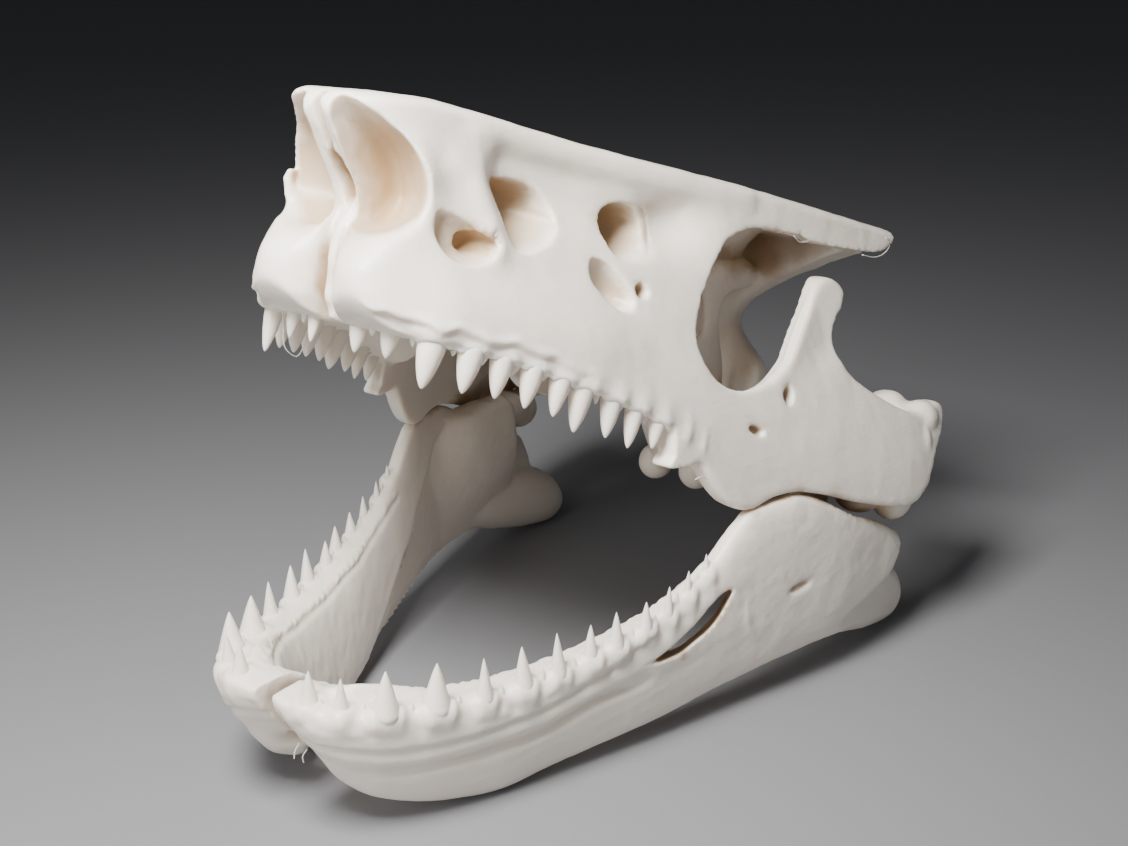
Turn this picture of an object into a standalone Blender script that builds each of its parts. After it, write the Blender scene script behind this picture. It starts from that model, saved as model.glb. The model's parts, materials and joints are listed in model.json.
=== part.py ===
# Gape-jawed reptile skull model: upper skull and two separate lower jaw halves
import bpy
import bmesh
import math
import random
import numpy as np
from mathutils import Matrix, Vector

MM = 0.001

# Pose of the upper skull over the jaw joint, millimetres and radians
JOINT_HEIGHT = 36.9
GAPE = math.radians(20.0)
JOINT_TO_MIDDLE = 51.4

# Half-widths and heights of the upper skull by distance along it from the joint
GUM_HALF = ((-133, 6), (-132, 11), (-130, 15.6), (-126, 20), (-119, 24.5), (-107, 29.5), (-93, 34.5),
            (-75, 39.5), (-58, 44), (-41, 49), (-15, 57), (12, 64.3), (30, 66.3))
ROOF_HALF = ((-138.5, 3), (-137.5, 6.5), (-135, 9.5), (-130, 12), (-120, 14.5), (-95, 20),
             (-70, 28), (-45, 35), (-20, 41), (5, 46), (30, 50))
ROOF_LEVEL = ((-138.5, 55), (-136, 57.5), (-119, 60.3), (-85, 61), (-45, 63), (-12, 64), (30, 65))
GUM_LEVEL = ((-138.5, 54), (-137, 50), (-134, 45), (-133.3, 28), (-132, 24), (-129.5, 21), (-126.5, 19),
             (-124, 18.1), (-107, 16.8), (-78, 13), (-61, 8.5), (-50, 5))
ROOF_THICK = 6.0
WALL_THICK = 4.8
VAULT_DEPTH = 12.0
VAULT_START = -119.0
GUM_THICK = 6.0
FACE_DIP = 2.6
MUZZLE_SWELL = 1.6
NOSE_SWELL = 2.6

# Side outline of the rear of the upper skull, as (along, up) from the joint
OPENING_RIM = ((-34, 55.6), (-43, 54.2), (-49.5, 50.5), (-54.5, 43), (-59, 34), (-59.6, 27.5),
               (-55.5, 22.3), (-48.8, 20.6), (-41, 23.2), (-34, 28.5), (-27.5, 37.5), (-22, 46))
SPUR_END = ((-19.3, 49.3), (-15.5, 50.2), (-12.8, 48.2), (-13.6, 44.5), (-16.8, 39), (-17.2, 34),
            (-14, 29.8), (-8, 27))
CHEEK_BACK = ((0, 25), (8, 23.6), (15, 25.4), (20.6, 28.4), (23.8, 27.1), (22.2, 22), (17.8, 15.5),
              (15, 8), (11, 3.2))
CHEEK_FOOT = ((4, 1.7), (-10, 1.5), (-21, 2.0), (-29, 1.6), (-35, -0.2), (-41, -3.6), (-47, -3.0),
              (-52, 0), (-57, 4.2), (-62, 8.5))
HORN_TIP = ((8.5, 64), (7, 61.5), (1.5, 58.2), (-8, 57), (-20, 56))
REAR_WING = ((0, 63), (43, 63), (44, 60), (41, 57.6), (34, 54.4), (28, 50.6), (21, 46), (16.5, 42.5), (14.5, 39),
             (15, 36), (18.5, 32.5), (23, 29.5), (24, 26), (14, 22), (0, 20))
INNER_PLATE = ((-66, 24), (-66, 36), (-40, 44), (-28, 48), (-8, 51.5), (-6, 45), (-14, 42.5),
               (-17.6, 38), (-15, 32), (-10, 24), (-9, 15), (-18, 11), (-40, 11), (-56, 22))

# Side outlines of the hollows in the face
NOSTRIL = ((-152, 56), (-139, 54.6), (-133.8, 52.8), (-129.8, 51), (-126.6, 48.4), (-124.4, 44.8), (-123.6, 41),
           (-125.4, 37.4), (-129, 34.8), (-137, 32.6), (-152, 32))
FACE_OPENING = ((-107.6, 48.4), (-103.4, 50.1), (-98, 50.2), (-94, 48.5), (-92.4, 45),
                (-94.4, 41.6), (-98, 38.8), (-102, 37.3), (-105, 38.4), (-107, 43))
EYE = ((-81.2, 46.3), (-79.4, 50.3), (-76.1, 51.9), (-72, 51.6), (-68.5, 49), (-69.5, 44.6),
       (-73.5, 41.8), (-77.4, 40.8), (-80, 42))
EYE_GROOVE = ((-87.2, 40.6), (-87.9, 36.5), (-84.8, 32.9), (-80.8, 31), (-77.3, 31.4), (-76.4, 33.7),
              (-78.6, 37.4), (-82.6, 40.4))
SMALL_HOLE = ((-116.2, 38), (-113.4, 39.4), (-110.6, 39.2), (-110.4, 37), (-113.2, 35.3), (-115.9, 36.1))
SMALL_DISH = ((-121.5, 42.5), (-117.5, 42), (-112.5, 40), (-109, 37.6), (-110.5, 34.6), (-114.5, 32.6),
              (-118.5, 33), (-121, 36.5))

# Front of the nose: (up, along) down the middle, then how far back it lies by distance from the middle
NOSE_BAR = ((16, -126), (22, -126.6), (26, -127), (30, -127.6), (34.5, -127.3), (38, -126), (40.8, -127), (45.5, -131),
            (49.5, -133.4), (54, -136.5), (57, -138))
NOSE_HALVES = ((0, 0), (0.9, 0.4), (1.5, 3.8), (2.4, 3.8), (2.9, -0.8), (3.7, -2.4), (5.5, -4.1), (8, -5.1), (11, -5.2),
               (14, -3.6), (17, -1), (19, 1), (24, 4))
NOSE_NOTCH = ((0, 4.0), (0.35, 3.6), (0.8, -1.6), (3, -2.4), (24, -3))

# Lower jaw half: centre line on the floor, then sizes by distance from the joint
JAW_LINE = ((1.8, -131.5), (9, -130), (14.5, -125.5), (19.5, -117.5), (24.5, -107), (30.5, -91),
            (36.5, -74), (41.5, -58), (46.5, -42), (51, -26), (54.5, -9), (56.3, 14))
JAW_RIM = ((-131.5, 30.5), (-125, 29.4), (-117, 28), (-107, 26.8), (-97, 26.4), (-88, 26.7), (-80, 27.5),
           (-72, 28.9), (-66, 30), (-61.5, 31.4), (-56.7, 33.7), (-51.9, 36.5), (-49, 38.4), (-46.5, 41),
           (-43, 44.5), (-38.5, 47.6), (-27.5, 47.8), (-22, 46.4), (-16, 43.4), (-11, 41), (-4, 37.4),
           (1, 34.6), (8, 31), (14.5, 27.5))
JAW_INNER_RIM = ((-131.5, 30.5), (-123.3, 32), (-118.4, 31), (-109.6, 28.2), (-95, 27.3), (-86, 27.6),
                 (-77, 28.8), (-66.6, 30.6), (-57, 33), (-49.5, 35.2), (-44.6, 37.4), (-39.4, 40),
                 (-31, 44.5), (-27, 46), (-22.5, 44.5), (-16, 41), (-9, 37), (2, 31.5), (14.5, 26))
JAW_FOOT = ((-131.5, 18.5), (-130.2, 14.5), (-125.5, 8.6), (-117.5, 4), (-107, 1.1), (-97, -0.1), (-85, 1.7),
            (-58, 4.5), (-42, 7), (-18, 8.5), (9, 7))
JAW_OUTER = ((-131.5, 2.6), (-130.6, 4.8), (-129, 6.0), (-117, 6.3), (-100, 5.4), (-70, 4), (-26, 4.25), (14, 5))
JAW_INNER = ((-131.5, 11.5), (-130, 10), (-125.5, 7.5), (-117.5, 5.8), (-107, 5.2), (-70, 4.4),
             (-26, 4), (14, 4.5))
JAW_LEAN = ((-131.5, 8), (-117, 7), (-90, 5), (-58, 3), (9, 1))
JAW_GROOVE_LEVEL = ((-131, 20), (-125, 16), (-115, 14.4), (-92, 14.1), (-75, 17.3))
JAW_GROOVE = 1.3
JAW_LEDGE = ((-134, 26.4), (-128.6, 22.6), (-116, 20), (-105, 19.4), (-92, 20), (-83, 21.8), (-70, 26), (-56, 33))
JAW_CREASE = ((-84, -6), (-77.6, 3.6), (-68.9, 8.6), (-59.3, 15.6), (-49, 22.8), (-38.4, 32.7), (-25.9, 43.5))
JAW_BAND = 1.1
JAW_ROLL = 0.7
JAW_OVERLAP = 2.6
JAW_WALL = 3.2
JAW_GUM_FALL = 1.6
JAW_SLOT = ((-68.7, 22), (-64.6, 22.9), (-57.1, 26.6), (-51.2, 30.8), (-47.4, 32), (-48.1, 29.9),
            (-51.8, 25.5), (-57, 22.8), (-61.5, 21.6))
SLOT_WAY = (-0.564, 0.76, -0.324)
JAW_BACK = ((15.5, 26.5), (8, 18.5), (-17, 10.5), (-17, -5), (45, -5), (45, 26.5))
JAW_FLANGE = ((-40, 36), (-33, 44), (-20, 45.8), (-8, 45.6), (-1.5, 44.8), (0.3, 41), (0.8, 34.7), (2.4, 24),
              (0, 15), (-22, 12), (-40, 20))
FLANGE_CORNER = (-3.0, 41.0)
JAW_BACK_SIDE = 56.5
CHIN_GAP = 2.1

# Teeth as (across, along, tip level, radius at the neck), front to back
UPPER_TEETH = ((5.6, -122.5, 13.1, 1.7), (12.2, -121.3, 13.0, 1.8), (20, -118.8, 9.7, 2.5),
               (24, -112.2, 10, 2.3), (27.2, -106.1, 9.7, 2.1), (30, -99.6, 9, 2.1), (31.8, -93.3, 8.9, 2.0),
               (33.4, -87.9, 6.7, 2.3), (35.2, -80.7, 6.7, 2.0), (36.8, -74.9, 5.4, 1.8),
               (38.7, -68.8, 5.8, 1.6), (40.5, -62.5, 4.3, 1.1), (41.6, -57.9, 3.6, 0.7))
LOWER_TEETH = ((9.2, -130, 36.5, 1.8), (14.9, -127.6, 35.9, 1.5), (20.6, -122, 36.7, 2.6),
               (24.9, -112.9, 35.6, 2.7), (29.2, -103.9, 34.5, 1.6), (31.8, -95.4, 34.2, 1.9),
               (34.6, -88, 34.5, 1.6), (36.6, -80.3, 33.7, 1.6), (39, -74.7, 35, 1.6),
               (41.1, -67.5, 35.1, 1.5), (42.6, -61.6, 36.9, 1.15), (43.6, -55.9, 38.4, 1.0),
               (44.8, -50.7, 40.6, 0.9))
TOOTH_SIDES = 5
TOOTH_ROOT = 0.35
TOOTH_SINK = 1.5
TOOTH_SPREAD = 0.05

VOXEL = 1.1
CRANIUM_FACES = 8000
JAW_FACES = 2500
SEAM = 0.3
SEAM_PLACE = -63.0
ROOF_SEAM = 51.5
BRAINCASE_HALF = 21.0
FAR = 200.0

for old in list(bpy.data.objects):
    bpy.data.objects.remove(old, do_unlink=True)


def follow(keys, at):
    # Smooth value through a few (place, value) sizes, never past its neighbours
    xs = np.array([k[0] for k in keys], float)
    ys = np.array([k[1] for k in keys], float)
    rise = np.diff(ys) / np.diff(xs)
    slope = np.zeros(len(xs))
    slope[0] = rise[0]
    both = np.where(rise[:-1] * rise[1:] > 0)[0]
    slope[both + 1] = 2 * rise[both] * rise[both + 1] / (rise[both] + rise[both + 1])
    at = np.clip(np.asarray(at, float), xs[0], xs[-1])
    i = np.clip(np.searchsorted(xs, at, side="right") - 1, 0, len(xs) - 2)
    run = xs[i + 1] - xs[i]
    t = (at - xs[i]) / run
    return (ys[i] * (2 * t**3 - 3 * t**2 + 1) + slope[i] * run * (t**3 - 2 * t**2 + t)
            + ys[i + 1] * (3 * t**2 - 2 * t**3) + slope[i + 1] * run * (t**3 - t**2))


def ease(t):
    t = np.clip(t, 0.0, 1.0)
    return t * t * (3 - 2 * t)


def side_half(along, up):
    # Half-width of the upper skull's outer side: muzzle and nose swell, shallow face dip
    gum = follow(GUM_HALF, along)
    roof = follow(ROOF_HALF, along)
    top = follow(ROOF_LEVEL, along)
    wide = gum + (roof - gum) * ease((up - 5) / (top - 5))
    dip = FACE_DIP * np.exp(-((up - 49) / 6) ** 2) * ease((along + 113) / 8) * ease((-52 - along) / 14)
    swell = MUZZLE_SWELL * np.exp(-((up - 25) / 7) ** 2) * ease((along + 128) / 10) * ease((-70 - along) / 20)
    nose = NOSE_SWELL * np.exp(-((up - 46) / 6) ** 2 - ((along + 127) / 6) ** 2)
    return np.maximum(wide - dip + swell + nose, 1.0)


def add_mesh(name, verts, faces):
    mesh = bpy.data.meshes.new(name)
    mesh.from_pydata((np.array(verts, float) * MM).tolist(), [], faces)
    mesh.validate()
    obj = bpy.data.objects.new(name, mesh)
    bpy.context.collection.objects.link(obj)
    bm = bmesh.new()
    bm.from_mesh(mesh)
    bmesh.ops.triangulate(bm, faces=[f for f in bm.faces if len(f.verts) > 4])
    bmesh.ops.recalc_face_normals(bm, faces=bm.faces)
    bm.to_mesh(mesh)
    bm.free()
    return obj


def loft(name, rings):
    # Closed skin over a row of equal rings
    count = len(rings[0])
    verts = [p for ring in rings for p in ring]
    faces = [tuple(range(count - 1, -1, -1)), tuple(len(verts) - count + k for k in range(count))]
    for r in range(len(rings) - 1):
        for k in range(count):
            n = (k + 1) % count
            faces.append((r * count + k, r * count + n, (r + 1) * count + n, (r + 1) * count + k))
    return add_mesh(name, verts, faces)


def rounded(points, steps=4):
    # Closed outline that runs smoothly through its points
    pts = np.array(points, float)
    before, after, next_on = np.roll(pts, 1, 0), np.roll(pts, -1, 0), np.roll(pts, -2, 0)
    out = []
    for i in range(len(pts)):
        for s in range(steps):
            t = s / steps
            out.append(0.5 * (2 * pts[i] + (after[i] - before[i]) * t
                              + (2 * before[i] - 5 * pts[i] + 4 * after[i] - next_on[i]) * t * t
                              + (3 * pts[i] - before[i] - 3 * after[i] + next_on[i]) * t**3))
    return [tuple(p) for p in out]


def prism(name, outline, x0, x1):
    # Slab with a side outline, standing across the skull
    n = len(outline)
    verts = [(x0, p[0], p[1]) for p in outline] + [(x1, p[0], p[1]) for p in outline]
    faces = [tuple(range(n)), tuple(range(2 * n - 1, n - 1, -1))]
    faces += [(k, k + n, (k + 1) % n + n, (k + 1) % n) for k in range(n)]
    return add_mesh(name, verts, faces)


def rear_plate(name, outline, y0, y1):
    # Slab with an outline seen from the back, the same on both sides of the middle
    both = list(outline) + [(-x, z) for x, z in reversed(outline) if x > 0]
    n = len(both)
    verts = [(x, y0, z) for x, z in both] + [(x, y1, z) for x, z in both]
    faces = [tuple(range(n)), tuple(range(2 * n - 1, n - 1, -1))]
    faces += [(k, k + n, (k + 1) % n + n, (k + 1) % n) for k in range(n)]
    return add_mesh(name, verts, faces)


def ball(name, centre, radii, turn=0.0, swing=0.0, rings=14):
    # Egg-shaped form, turned in the side plane and swung about the upright
    bm = bmesh.new()
    bmesh.ops.create_uvsphere(bm, u_segments=rings * 2, v_segments=rings, radius=1.0)
    size = Matrix.Diagonal(Vector((*[r * MM for r in radii], 1)))
    spot = Matrix.Translation(Vector(centre) * MM) @ Matrix.Rotation(swing, 4, "Z") @ Matrix.Rotation(turn, 4, "X") @ size
    bmesh.ops.transform(bm, matrix=spot, verts=bm.verts)
    mesh = bpy.data.meshes.new(name)
    bm.to_mesh(mesh)
    bm.free()
    obj = bpy.data.objects.new(name, mesh)
    bpy.context.collection.objects.link(obj)
    return obj


def bowl(name, outline, outside, depth, s=1, shift=(0, 0), floor=0.35, grow=1.12):
    # Smooth hollow: a side outline that shrinks as it goes in, from beyond the skin
    edge = np.array(rounded(outline))
    mid = edge.mean(0)
    start = outside + 6
    rings = [[(s * start, *(mid + (p - mid) * grow)) for p in edge]]
    for t in np.linspace(0.125, 1, 8):
        size = floor * 0.8 if t == 1 else floor + (1 - floor) * math.sqrt(1 - t * t)
        x = start - (depth + 6) * (0.25 + 0.75 * t)
        rings.append([(s * x, *(mid + (p - mid) * size + np.array(shift) * t)) for p in edge])
    return loft(name, rings)


def tube(name, spots, radii, sides=14):
    # Round bar through a few places; radii are (across, along) pairs
    rings = []
    for i, spot in enumerate(spots):
        ahead = Vector(spots[min(i + 1, len(spots) - 1)]) - Vector(spots[max(i - 1, 0)])
        ahead.normalize()
        side = Vector((1, 0, 0)) - ahead * ahead.x
        if side.length < 0.3:
            side = Vector((0, 1, 0)) - ahead * ahead.y
        side.normalize()
        other = ahead.cross(side)
        a, b = radii[i]
        rings.append([tuple(Vector(spot) + side * (a * math.cos(k * math.tau / sides))
                            + other * (b * math.sin(k * math.tau / sides))) for k in range(sides)])
    return loft(name, rings)


def use_modifier(obj, kind, **settings):
    mod = obj.modifiers.new(kind.title(), kind)
    for key, value in settings.items():
        setattr(mod, key, value)
    bpy.context.view_layer.update()
    done = bpy.data.meshes.new_from_object(obj.evaluated_get(bpy.context.evaluated_depsgraph_get()))
    obj.modifiers.clear()
    obj.data = done
    return obj


def combine(obj, others, how):
    # One Boolean with a collection of closed pieces, which are then removed
    group = bpy.data.collections.new(obj.name + "_with")
    bpy.context.scene.collection.children.link(group)
    for other in others:
        group.objects.link(other)
    use_modifier(obj, "BOOLEAN", operation=how, operand_type="COLLECTION", collection=group, solver="MANIFOLD")
    for other in list(group.objects):
        bpy.data.objects.remove(other, do_unlink=True)
    bpy.data.collections.remove(group)
    return obj


def keep_largest(obj):
    # Only the largest closed surface stays
    bm = bmesh.new()
    bm.from_mesh(obj.data)
    left = set(bm.verts)
    best = set()
    while left:
        seed = left.pop()
        found = {seed}
        front = [seed]
        while front:
            vert = front.pop()
            for edge in vert.link_edges:
                near = edge.other_vert(vert)
                if near not in found:
                    found.add(near)
                    front.append(near)
        left -= found
        if len(found) > len(best):
            best = found
    bmesh.ops.delete(bm, geom=[v for v in bm.verts if v not in best], context="VERTS")
    bm.to_mesh(obj.data)
    bm.free()
    return obj


def count_triangles(obj):
    return sum(len(p.vertices) - 2 for p in obj.data.polygons)


def soften(obj, voxel, turns, faces):
    # Even skin, worn edges, then no more faces than needed
    use_modifier(obj, "REMESH", mode="VOXEL", voxel_size=voxel * MM, use_smooth_shade=True)
    use_modifier(obj, "SMOOTH", factor=0.5, iterations=turns)
    keep_largest(obj)
    use_modifier(obj, "DECIMATE", ratio=min(1.0, faces / count_triangles(obj)))
    return obj


def tooth(name, root, tip, radius):
    # Cone with a swollen neck, its root sunk in
    axis = Vector(tip) - Vector(root)
    side = axis.cross(Vector((0, 1, 0.3))).normalized()
    other = axis.cross(side).normalized()
    rings = []
    for t, r in ((-TOOTH_ROOT, 0.9), (0.14, 1.05), (0.6, 0.68)):
        mid = Vector(root) + axis * t
        rings.append([tuple(mid + (side * math.cos(k * math.tau / TOOTH_SIDES)
                                   + other * math.sin(k * math.tau / TOOTH_SIDES)) * (radius * r))
                      for k in range(TOOTH_SIDES)])
    blunt = [tuple(Vector(tip) - axis * 0.04 + (Vector(p) - Vector(root) - axis * 0.6) * 0.2) for p in rings[2]]
    return loft(name, rings + [blunt])


# Front block of the upper skull: solid, with a vaulted palate
rings = []
for along in np.linspace(-138.3, -62, 40):
    low, top = float(follow(GUM_LEVEL, along)), float(follow(ROOF_LEVEL, along))
    gum, edge = float(side_half(along, low)), float(follow(ROOF_HALF, along))
    vault = min(VAULT_DEPTH, 0.5 * gum) * float(ease((along - VAULT_START) / 10))
    lip = gum - min(GUM_THICK, gum * 0.5)
    half = [(lip * t, low + vault * (1 - t**3)) for t in np.arange(6) / 6]
    half.append((gum - 1.2, low - 0.2))
    half += [(float(side_half(along, up)), up) for up in np.linspace(low + 0.8, top - 1.6, 14)]
    half.append((edge - 2.2, top - 0.2))
    half += [(edge * t - 1, top) for t in (0.75, 0.5, 0.25)]
    rings.append([(x, along, up) for x, up in half] + [(-x, along, up) for x, up in reversed(half[1:])])
cranium = loft("cranium", rings)

# Rear of the upper skull: roof plate and side walls, cut to their side outline
rings = []
for along in np.linspace(-68, 30.6, 30):
    top, edge = float(follow(ROOF_LEVEL, along)), float(follow(ROOF_HALF, along))
    under = top - ROOF_THICK
    outer = [(float(side_half(along, up)), up) for up in np.linspace(-9, top - 1.6, 16)]
    inner = [(float(side_half(along, up)) - WALL_THICK, up) for up in np.linspace(-9, under - 3, 12)]
    outer += [(edge - 2.2, top - 0.2), (edge * 0.5, top)]
    inner += [(edge - WALL_THICK - 4, under), (edge * 0.4, under)]
    loop = [(x, along, up) for x, up in outer] + [(-x, along, up) for x, up in reversed(outer)]
    loop += [(-x, along, up) for x, up in inner] + [(x, along, up) for x, up in reversed(inner)]
    rings.append(loop)
rear = loft("rear", rings)
side_line = rounded(HORN_TIP + OPENING_RIM + SPUR_END + CHEEK_BACK + CHEEK_FOOT)[:-4]
combine(rear, [prism("rear_outline", [(-66, 80), (10, 80)] + side_line + [(-66, 10)], -90, 90)], "INTERSECT")
combine(rear, [prism("roof_notch", [(2, 40), (60, 40), (60, 80), (2, 80)], -34, 34)], "DIFFERENCE")

# Braincase column with its lobes and side plates, the wing out to the horns, and the joint knobs
parts = [rear, rear_plate("rear_wing", REAR_WING, -5, 4),
         tube("column", [(0, -13, 63), (0, -12, 57), (0, -9, 50), (0, -5, 44), (0, -4, 38), (0, -1, 28),
                         (0, 4, 14), (0, 8, 2)],
              [(29, 22), (20, 14), (15, 10), (12.5, 8), (12, 8), (14, 10), (11, 10), (7, 6)])]
for s in (-1, 1):
    parts += [ball("lobe", (s * 6, 9, -1.5), (4.2, 5, 4.6)),
              ball("knob", (s * 57.5, 16.6, 22.4), (4.6, 5.6, 4.8), 0.3),
              ball("knob", (s * 50, 13.6, 24), (5.2, 5.4, 3.8), 0.3),
              ball("knob_web", (s * 55, 14.6, 16), (8, 5.2, 9), 0.3),
              ball("condyle", (s * 52.5, 3, 3), (4.6, 10, 4.6)),
              ball("condyle", (s * 58, 15, 0.7), (3.8, 4.8, 3.6)),
              prism("inner_plate", rounded(INNER_PLATE), s * 14, s * 19.2)]
combine(cranium, parts, "UNION")

# What lies before the front of the nose: two bulging halves with a cleft, parted narrowly above
xs = np.array([0, 0.8, 1.5, 2.4, 2.9, 3.7, 5.5, 8, 11, 14, 17, 19, 22])
xs = np.concatenate((-xs[:0:-1], xs))
rings = []
for up in np.linspace(6, 66, 41):
    low = float(1 - ease((up - 26) / 10))
    high = float(ease((up - 43) / 10))
    front = float(follow(NOSE_BAR, up)) + 1.6 * float(ease((22 - up) / 3))
    line = front + follow(NOSE_HALVES, np.abs(xs)) * (low + 0.25 * (1 - low) * (1 - high))
    line += follow(NOSE_NOTCH, np.abs(xs)) * high
    rings.append([(x, a, up) for x, a in zip(xs, line)] + [(22, -170, up), (-22, -170, up)])
cuts = [loft("nose_cut", rings), ball("nose_slot", (0, -128, 43.4), (1.8, 6.5, 5.8), 0.6)]

# Hollows of the upper skull, and the bevel all round the big rear opening
edge = np.array(rounded(OPENING_RIM + ((-21, 51), (-25, 56))))
mid = edge.mean(0)
wall = side_half(edge[:, 0], edge[:, 1])
for s in (-1, 1):
    rings = []
    for inset, grow in ((-9, 1.0), (0.9, 1.0), (2.4, 1.09), (7, 1.2)):
        ring = mid + (edge - mid) * grow
        rings.append([(s * (x - inset), *p) for x, p in zip(wall, ring)])
    cuts += [loft("opening_bevel", rings),
             bowl("nostril", NOSTRIL, 14, 11, s, (5, 0), 0.85, 1.0),
             bowl("small_hole", SMALL_HOLE, 20, 7, s),
             bowl("small_dish", SMALL_DISH, 19.4, 3.2, s, (0.5, 0), 0.5),
             bowl("face_opening", FACE_OPENING, 21, 12, s, (-2.5, 0.5), 0.5),
             bowl("eye", EYE, 27, 13, s, (-2, 0), 0.5),
             bowl("eye_groove", EYE_GROOVE, 30, 4.5, s)]
combine(cranium, cuts, "DIFFERENCE")
soften(cranium, VOXEL, 4, CRANIUM_FACES)

draw = random.Random(11)
teeth = []
for s in (-1, 1):
    for across, along, tip, radius in UPPER_TEETH:
        level = float(follow(GUM_LEVEL, along))
        across = min(across, float(side_half(along, level + 0.5)) - radius - 0.5)
        root = level + TOOTH_SINK
        reach = (root - tip) * (1 + draw.uniform(-TOOTH_SPREAD, TOOTH_SPREAD))
        teeth.append(tooth("tooth", (s * across, along, root), (s * across, along, root - reach), radius))
combine(cranium, teeth, "UNION")
keep_largest(cranium)


def jaw_profile(off, z, y, outer, inner):
    # Bands along the outer side; along the inner side the front bone laps over the rear one
    groove, ledge = float(follow(JAW_GROOVE_LEVEL, y)), float(follow(JAW_LEDGE, y))
    band = JAW_BAND * ease((z - ledge) / 0.8 + 0.5)
    roll = JAW_ROLL * np.sin(math.pi * np.clip((z - groove) / (ledge - groove), 0, 1))
    toothed = float(ease((-50 - y) / 14))
    dent = JAW_GROOVE * np.exp(-((z - groove + 0.5) / 1.4) ** 2) * float(ease((y + 131) / 6) * ease((-64 - y) / 8))
    lap = JAW_OVERLAP * (1 - ease((z - float(follow(JAW_CREASE, y))) / 1.0 + 0.5))
    lap = lap * float(ease((y + 84) / 6) * ease((-10 - y) / 20))
    return np.where(off > 0, off + (band + roll) * toothed * np.minimum(off / outer * 2, 1) - dent,
                    off + lap * np.minimum(-off / inner * 2, 1))


def jaw_half(name, s):
    # One half of the lower jaw, its teeth in a row along the outer rim
    places = np.linspace(0, len(JAW_LINE) - 1, 90)
    xs = follow([(k, p[0]) for k, p in enumerate(JAW_LINE)], places)
    ys = follow([(k, p[1]) for k, p in enumerate(JAW_LINE)], places)
    dx, dy = np.gradient(xs), np.gradient(ys)
    size = np.hypot(dx, dy)
    turn = np.arange(60) * math.tau / 60
    u = 0.5 + 0.5 * np.sin(turn)
    across = np.sign(np.cos(turn)) * np.abs(np.cos(turn)) ** 0.6
    rings = []
    for x, y, out_x, out_y in zip(xs, ys, dy / size, -dx / size):
        outer, inner, foot = float(follow(JAW_OUTER, y)), float(follow(JAW_INNER, y)), float(follow(JAW_FOOT, y))
        off = across * np.where(across > 0, outer, inner)
        low, high = float(follow(JAW_INNER_RIM, y)), float(follow(JAW_RIM, y))
        fall = JAW_GUM_FALL * ease(off / outer) * float(ease((-46 - y) / 8))
        z = foot + (low + (high - low) * ease((off + JAW_WALL) / 2.2) - fall - foot) * u
        off = jaw_profile(off, z, y, outer, inner) - float(follow(JAW_LEAN, y)) * (1 - u)
        rings.append(list(zip(s * (x + out_x * off), y + out_y * off, z)))
    jaw = loft(name, rings)
    process = tube("process", [(s * 52.6, -20, 19), (s * 52.3, -6, 15), (s * 52.6, 9, 11.4), (s * 52.6, 17, 8.5),
                               (s * 52.4, 23, 5.8), (s * 52.2, 26.6, 4.6)],
                   [(2, 4), (4, 8), (4.8, 9), (4.8, 8), (4.2, 6), (2.6, 3.4)])
    edge, corner = np.array(rounded(JAW_FLANGE)), np.array(FLANGE_CORNER)
    rings = []
    for t in np.linspace(0, 1, 6):
        # The flange is thickest in its upper rear corner
        ring = corner + (edge - corner) * (1 - 0.72 * t)
        rings.append([(s * (50 - 5.8 * math.sin(t * math.pi / 2)), *p) for p in ring])
    combine(jaw, [process, loft("flange", rings)], "UNION")
    slot, way = np.array(rounded(JAW_SLOT, 3)), SLOT_WAY
    mid = slot.mean(0)
    rings = []
    for reach, grow in ((-8, 1.08), (0, 1.08), (7, 1.0), (16, 0.9)):
        ring = mid + (slot - mid) * grow
        rings.append([(s * (46 + 0.3 * (p[0] + 57) + way[0] * reach), p[0] + way[1] * reach, p[1] + way[2] * reach)
                      for p in ring])
    middle = [(-FAR, -FAR), (FAR, -FAR), (FAR, FAR), (-FAR, FAR)]
    cuts = [loft("slot", rings), ball("slit", (s * 56.5, -27, 26.6), (5, 4.2, 0.9), 0.12, -s * 0.25),
            ball("seat_dish", (s * 52, -4, 37.6), (5.0, 13, 5.4), -0.44),
            ball("seat_dish", (s * 53, 14, 32.6), (5.0, 6.5, 5.4), -0.3),
            prism("back", JAW_BACK, s * JAW_BACK_SIDE, s * 90),
            prism("chin_gap", middle, -s * 30, s * CHIN_GAP)]
    combine(jaw, cuts, "DIFFERENCE")
    soften(jaw, VOXEL, 3, JAW_FACES)
    teeth = []
    for across, along, tip, radius in LOWER_TEETH:
        root = float(follow(JAW_RIM, along)) - TOOTH_SINK
        reach = (tip - root) * (1 + draw.uniform(-TOOTH_SPREAD, TOOTH_SPREAD))
        teeth.append(tooth("tooth", (s * across, along, root), (s * across, along, root + reach), radius))
    combine(jaw, teeth, "UNION")
    ground = [(-FAR, -30), (FAR, -30), (FAR, 0), (-FAR, 0)]
    combine(jaw, [prism("ground", ground, -90, 90)], "DIFFERENCE")
    return keep_largest(jaw)


jaws = [jaw_half("mandible_left", 1), jaw_half("mandible_right", -1)]


def swollen(obj, gap):
    # Slightly grown copy, for a fit with a gap
    other = obj.copy()
    other.data = obj.data.copy()
    bpy.context.collection.objects.link(other)
    return use_modifier(other, "DISPLACE", strength=gap * MM, mid_level=0.0)


def box_piece(name, x, along, up):
    # Part of the upper skull inside a box, turned to its pose about the jaw joint
    piece = cranium.copy()
    piece.data = cranium.data.copy()
    piece.name = name
    bpy.context.collection.objects.link(piece)
    side = [(along[0], up[0]), (along[1], up[0]), (along[1], up[1]), (along[0], up[1])]
    combine(piece, [prism(name + "_box", side, *x)], "INTERSECT")
    piece.data.transform(Matrix.Translation((0, 0, JOINT_HEIGHT * MM)) @ Matrix.Rotation(-GAPE, 4, "X"))
    combine(piece, [swollen(jaw, SEAM) for jaw in jaws], "DIFFERENCE")
    return keep_largest(piece)


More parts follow.
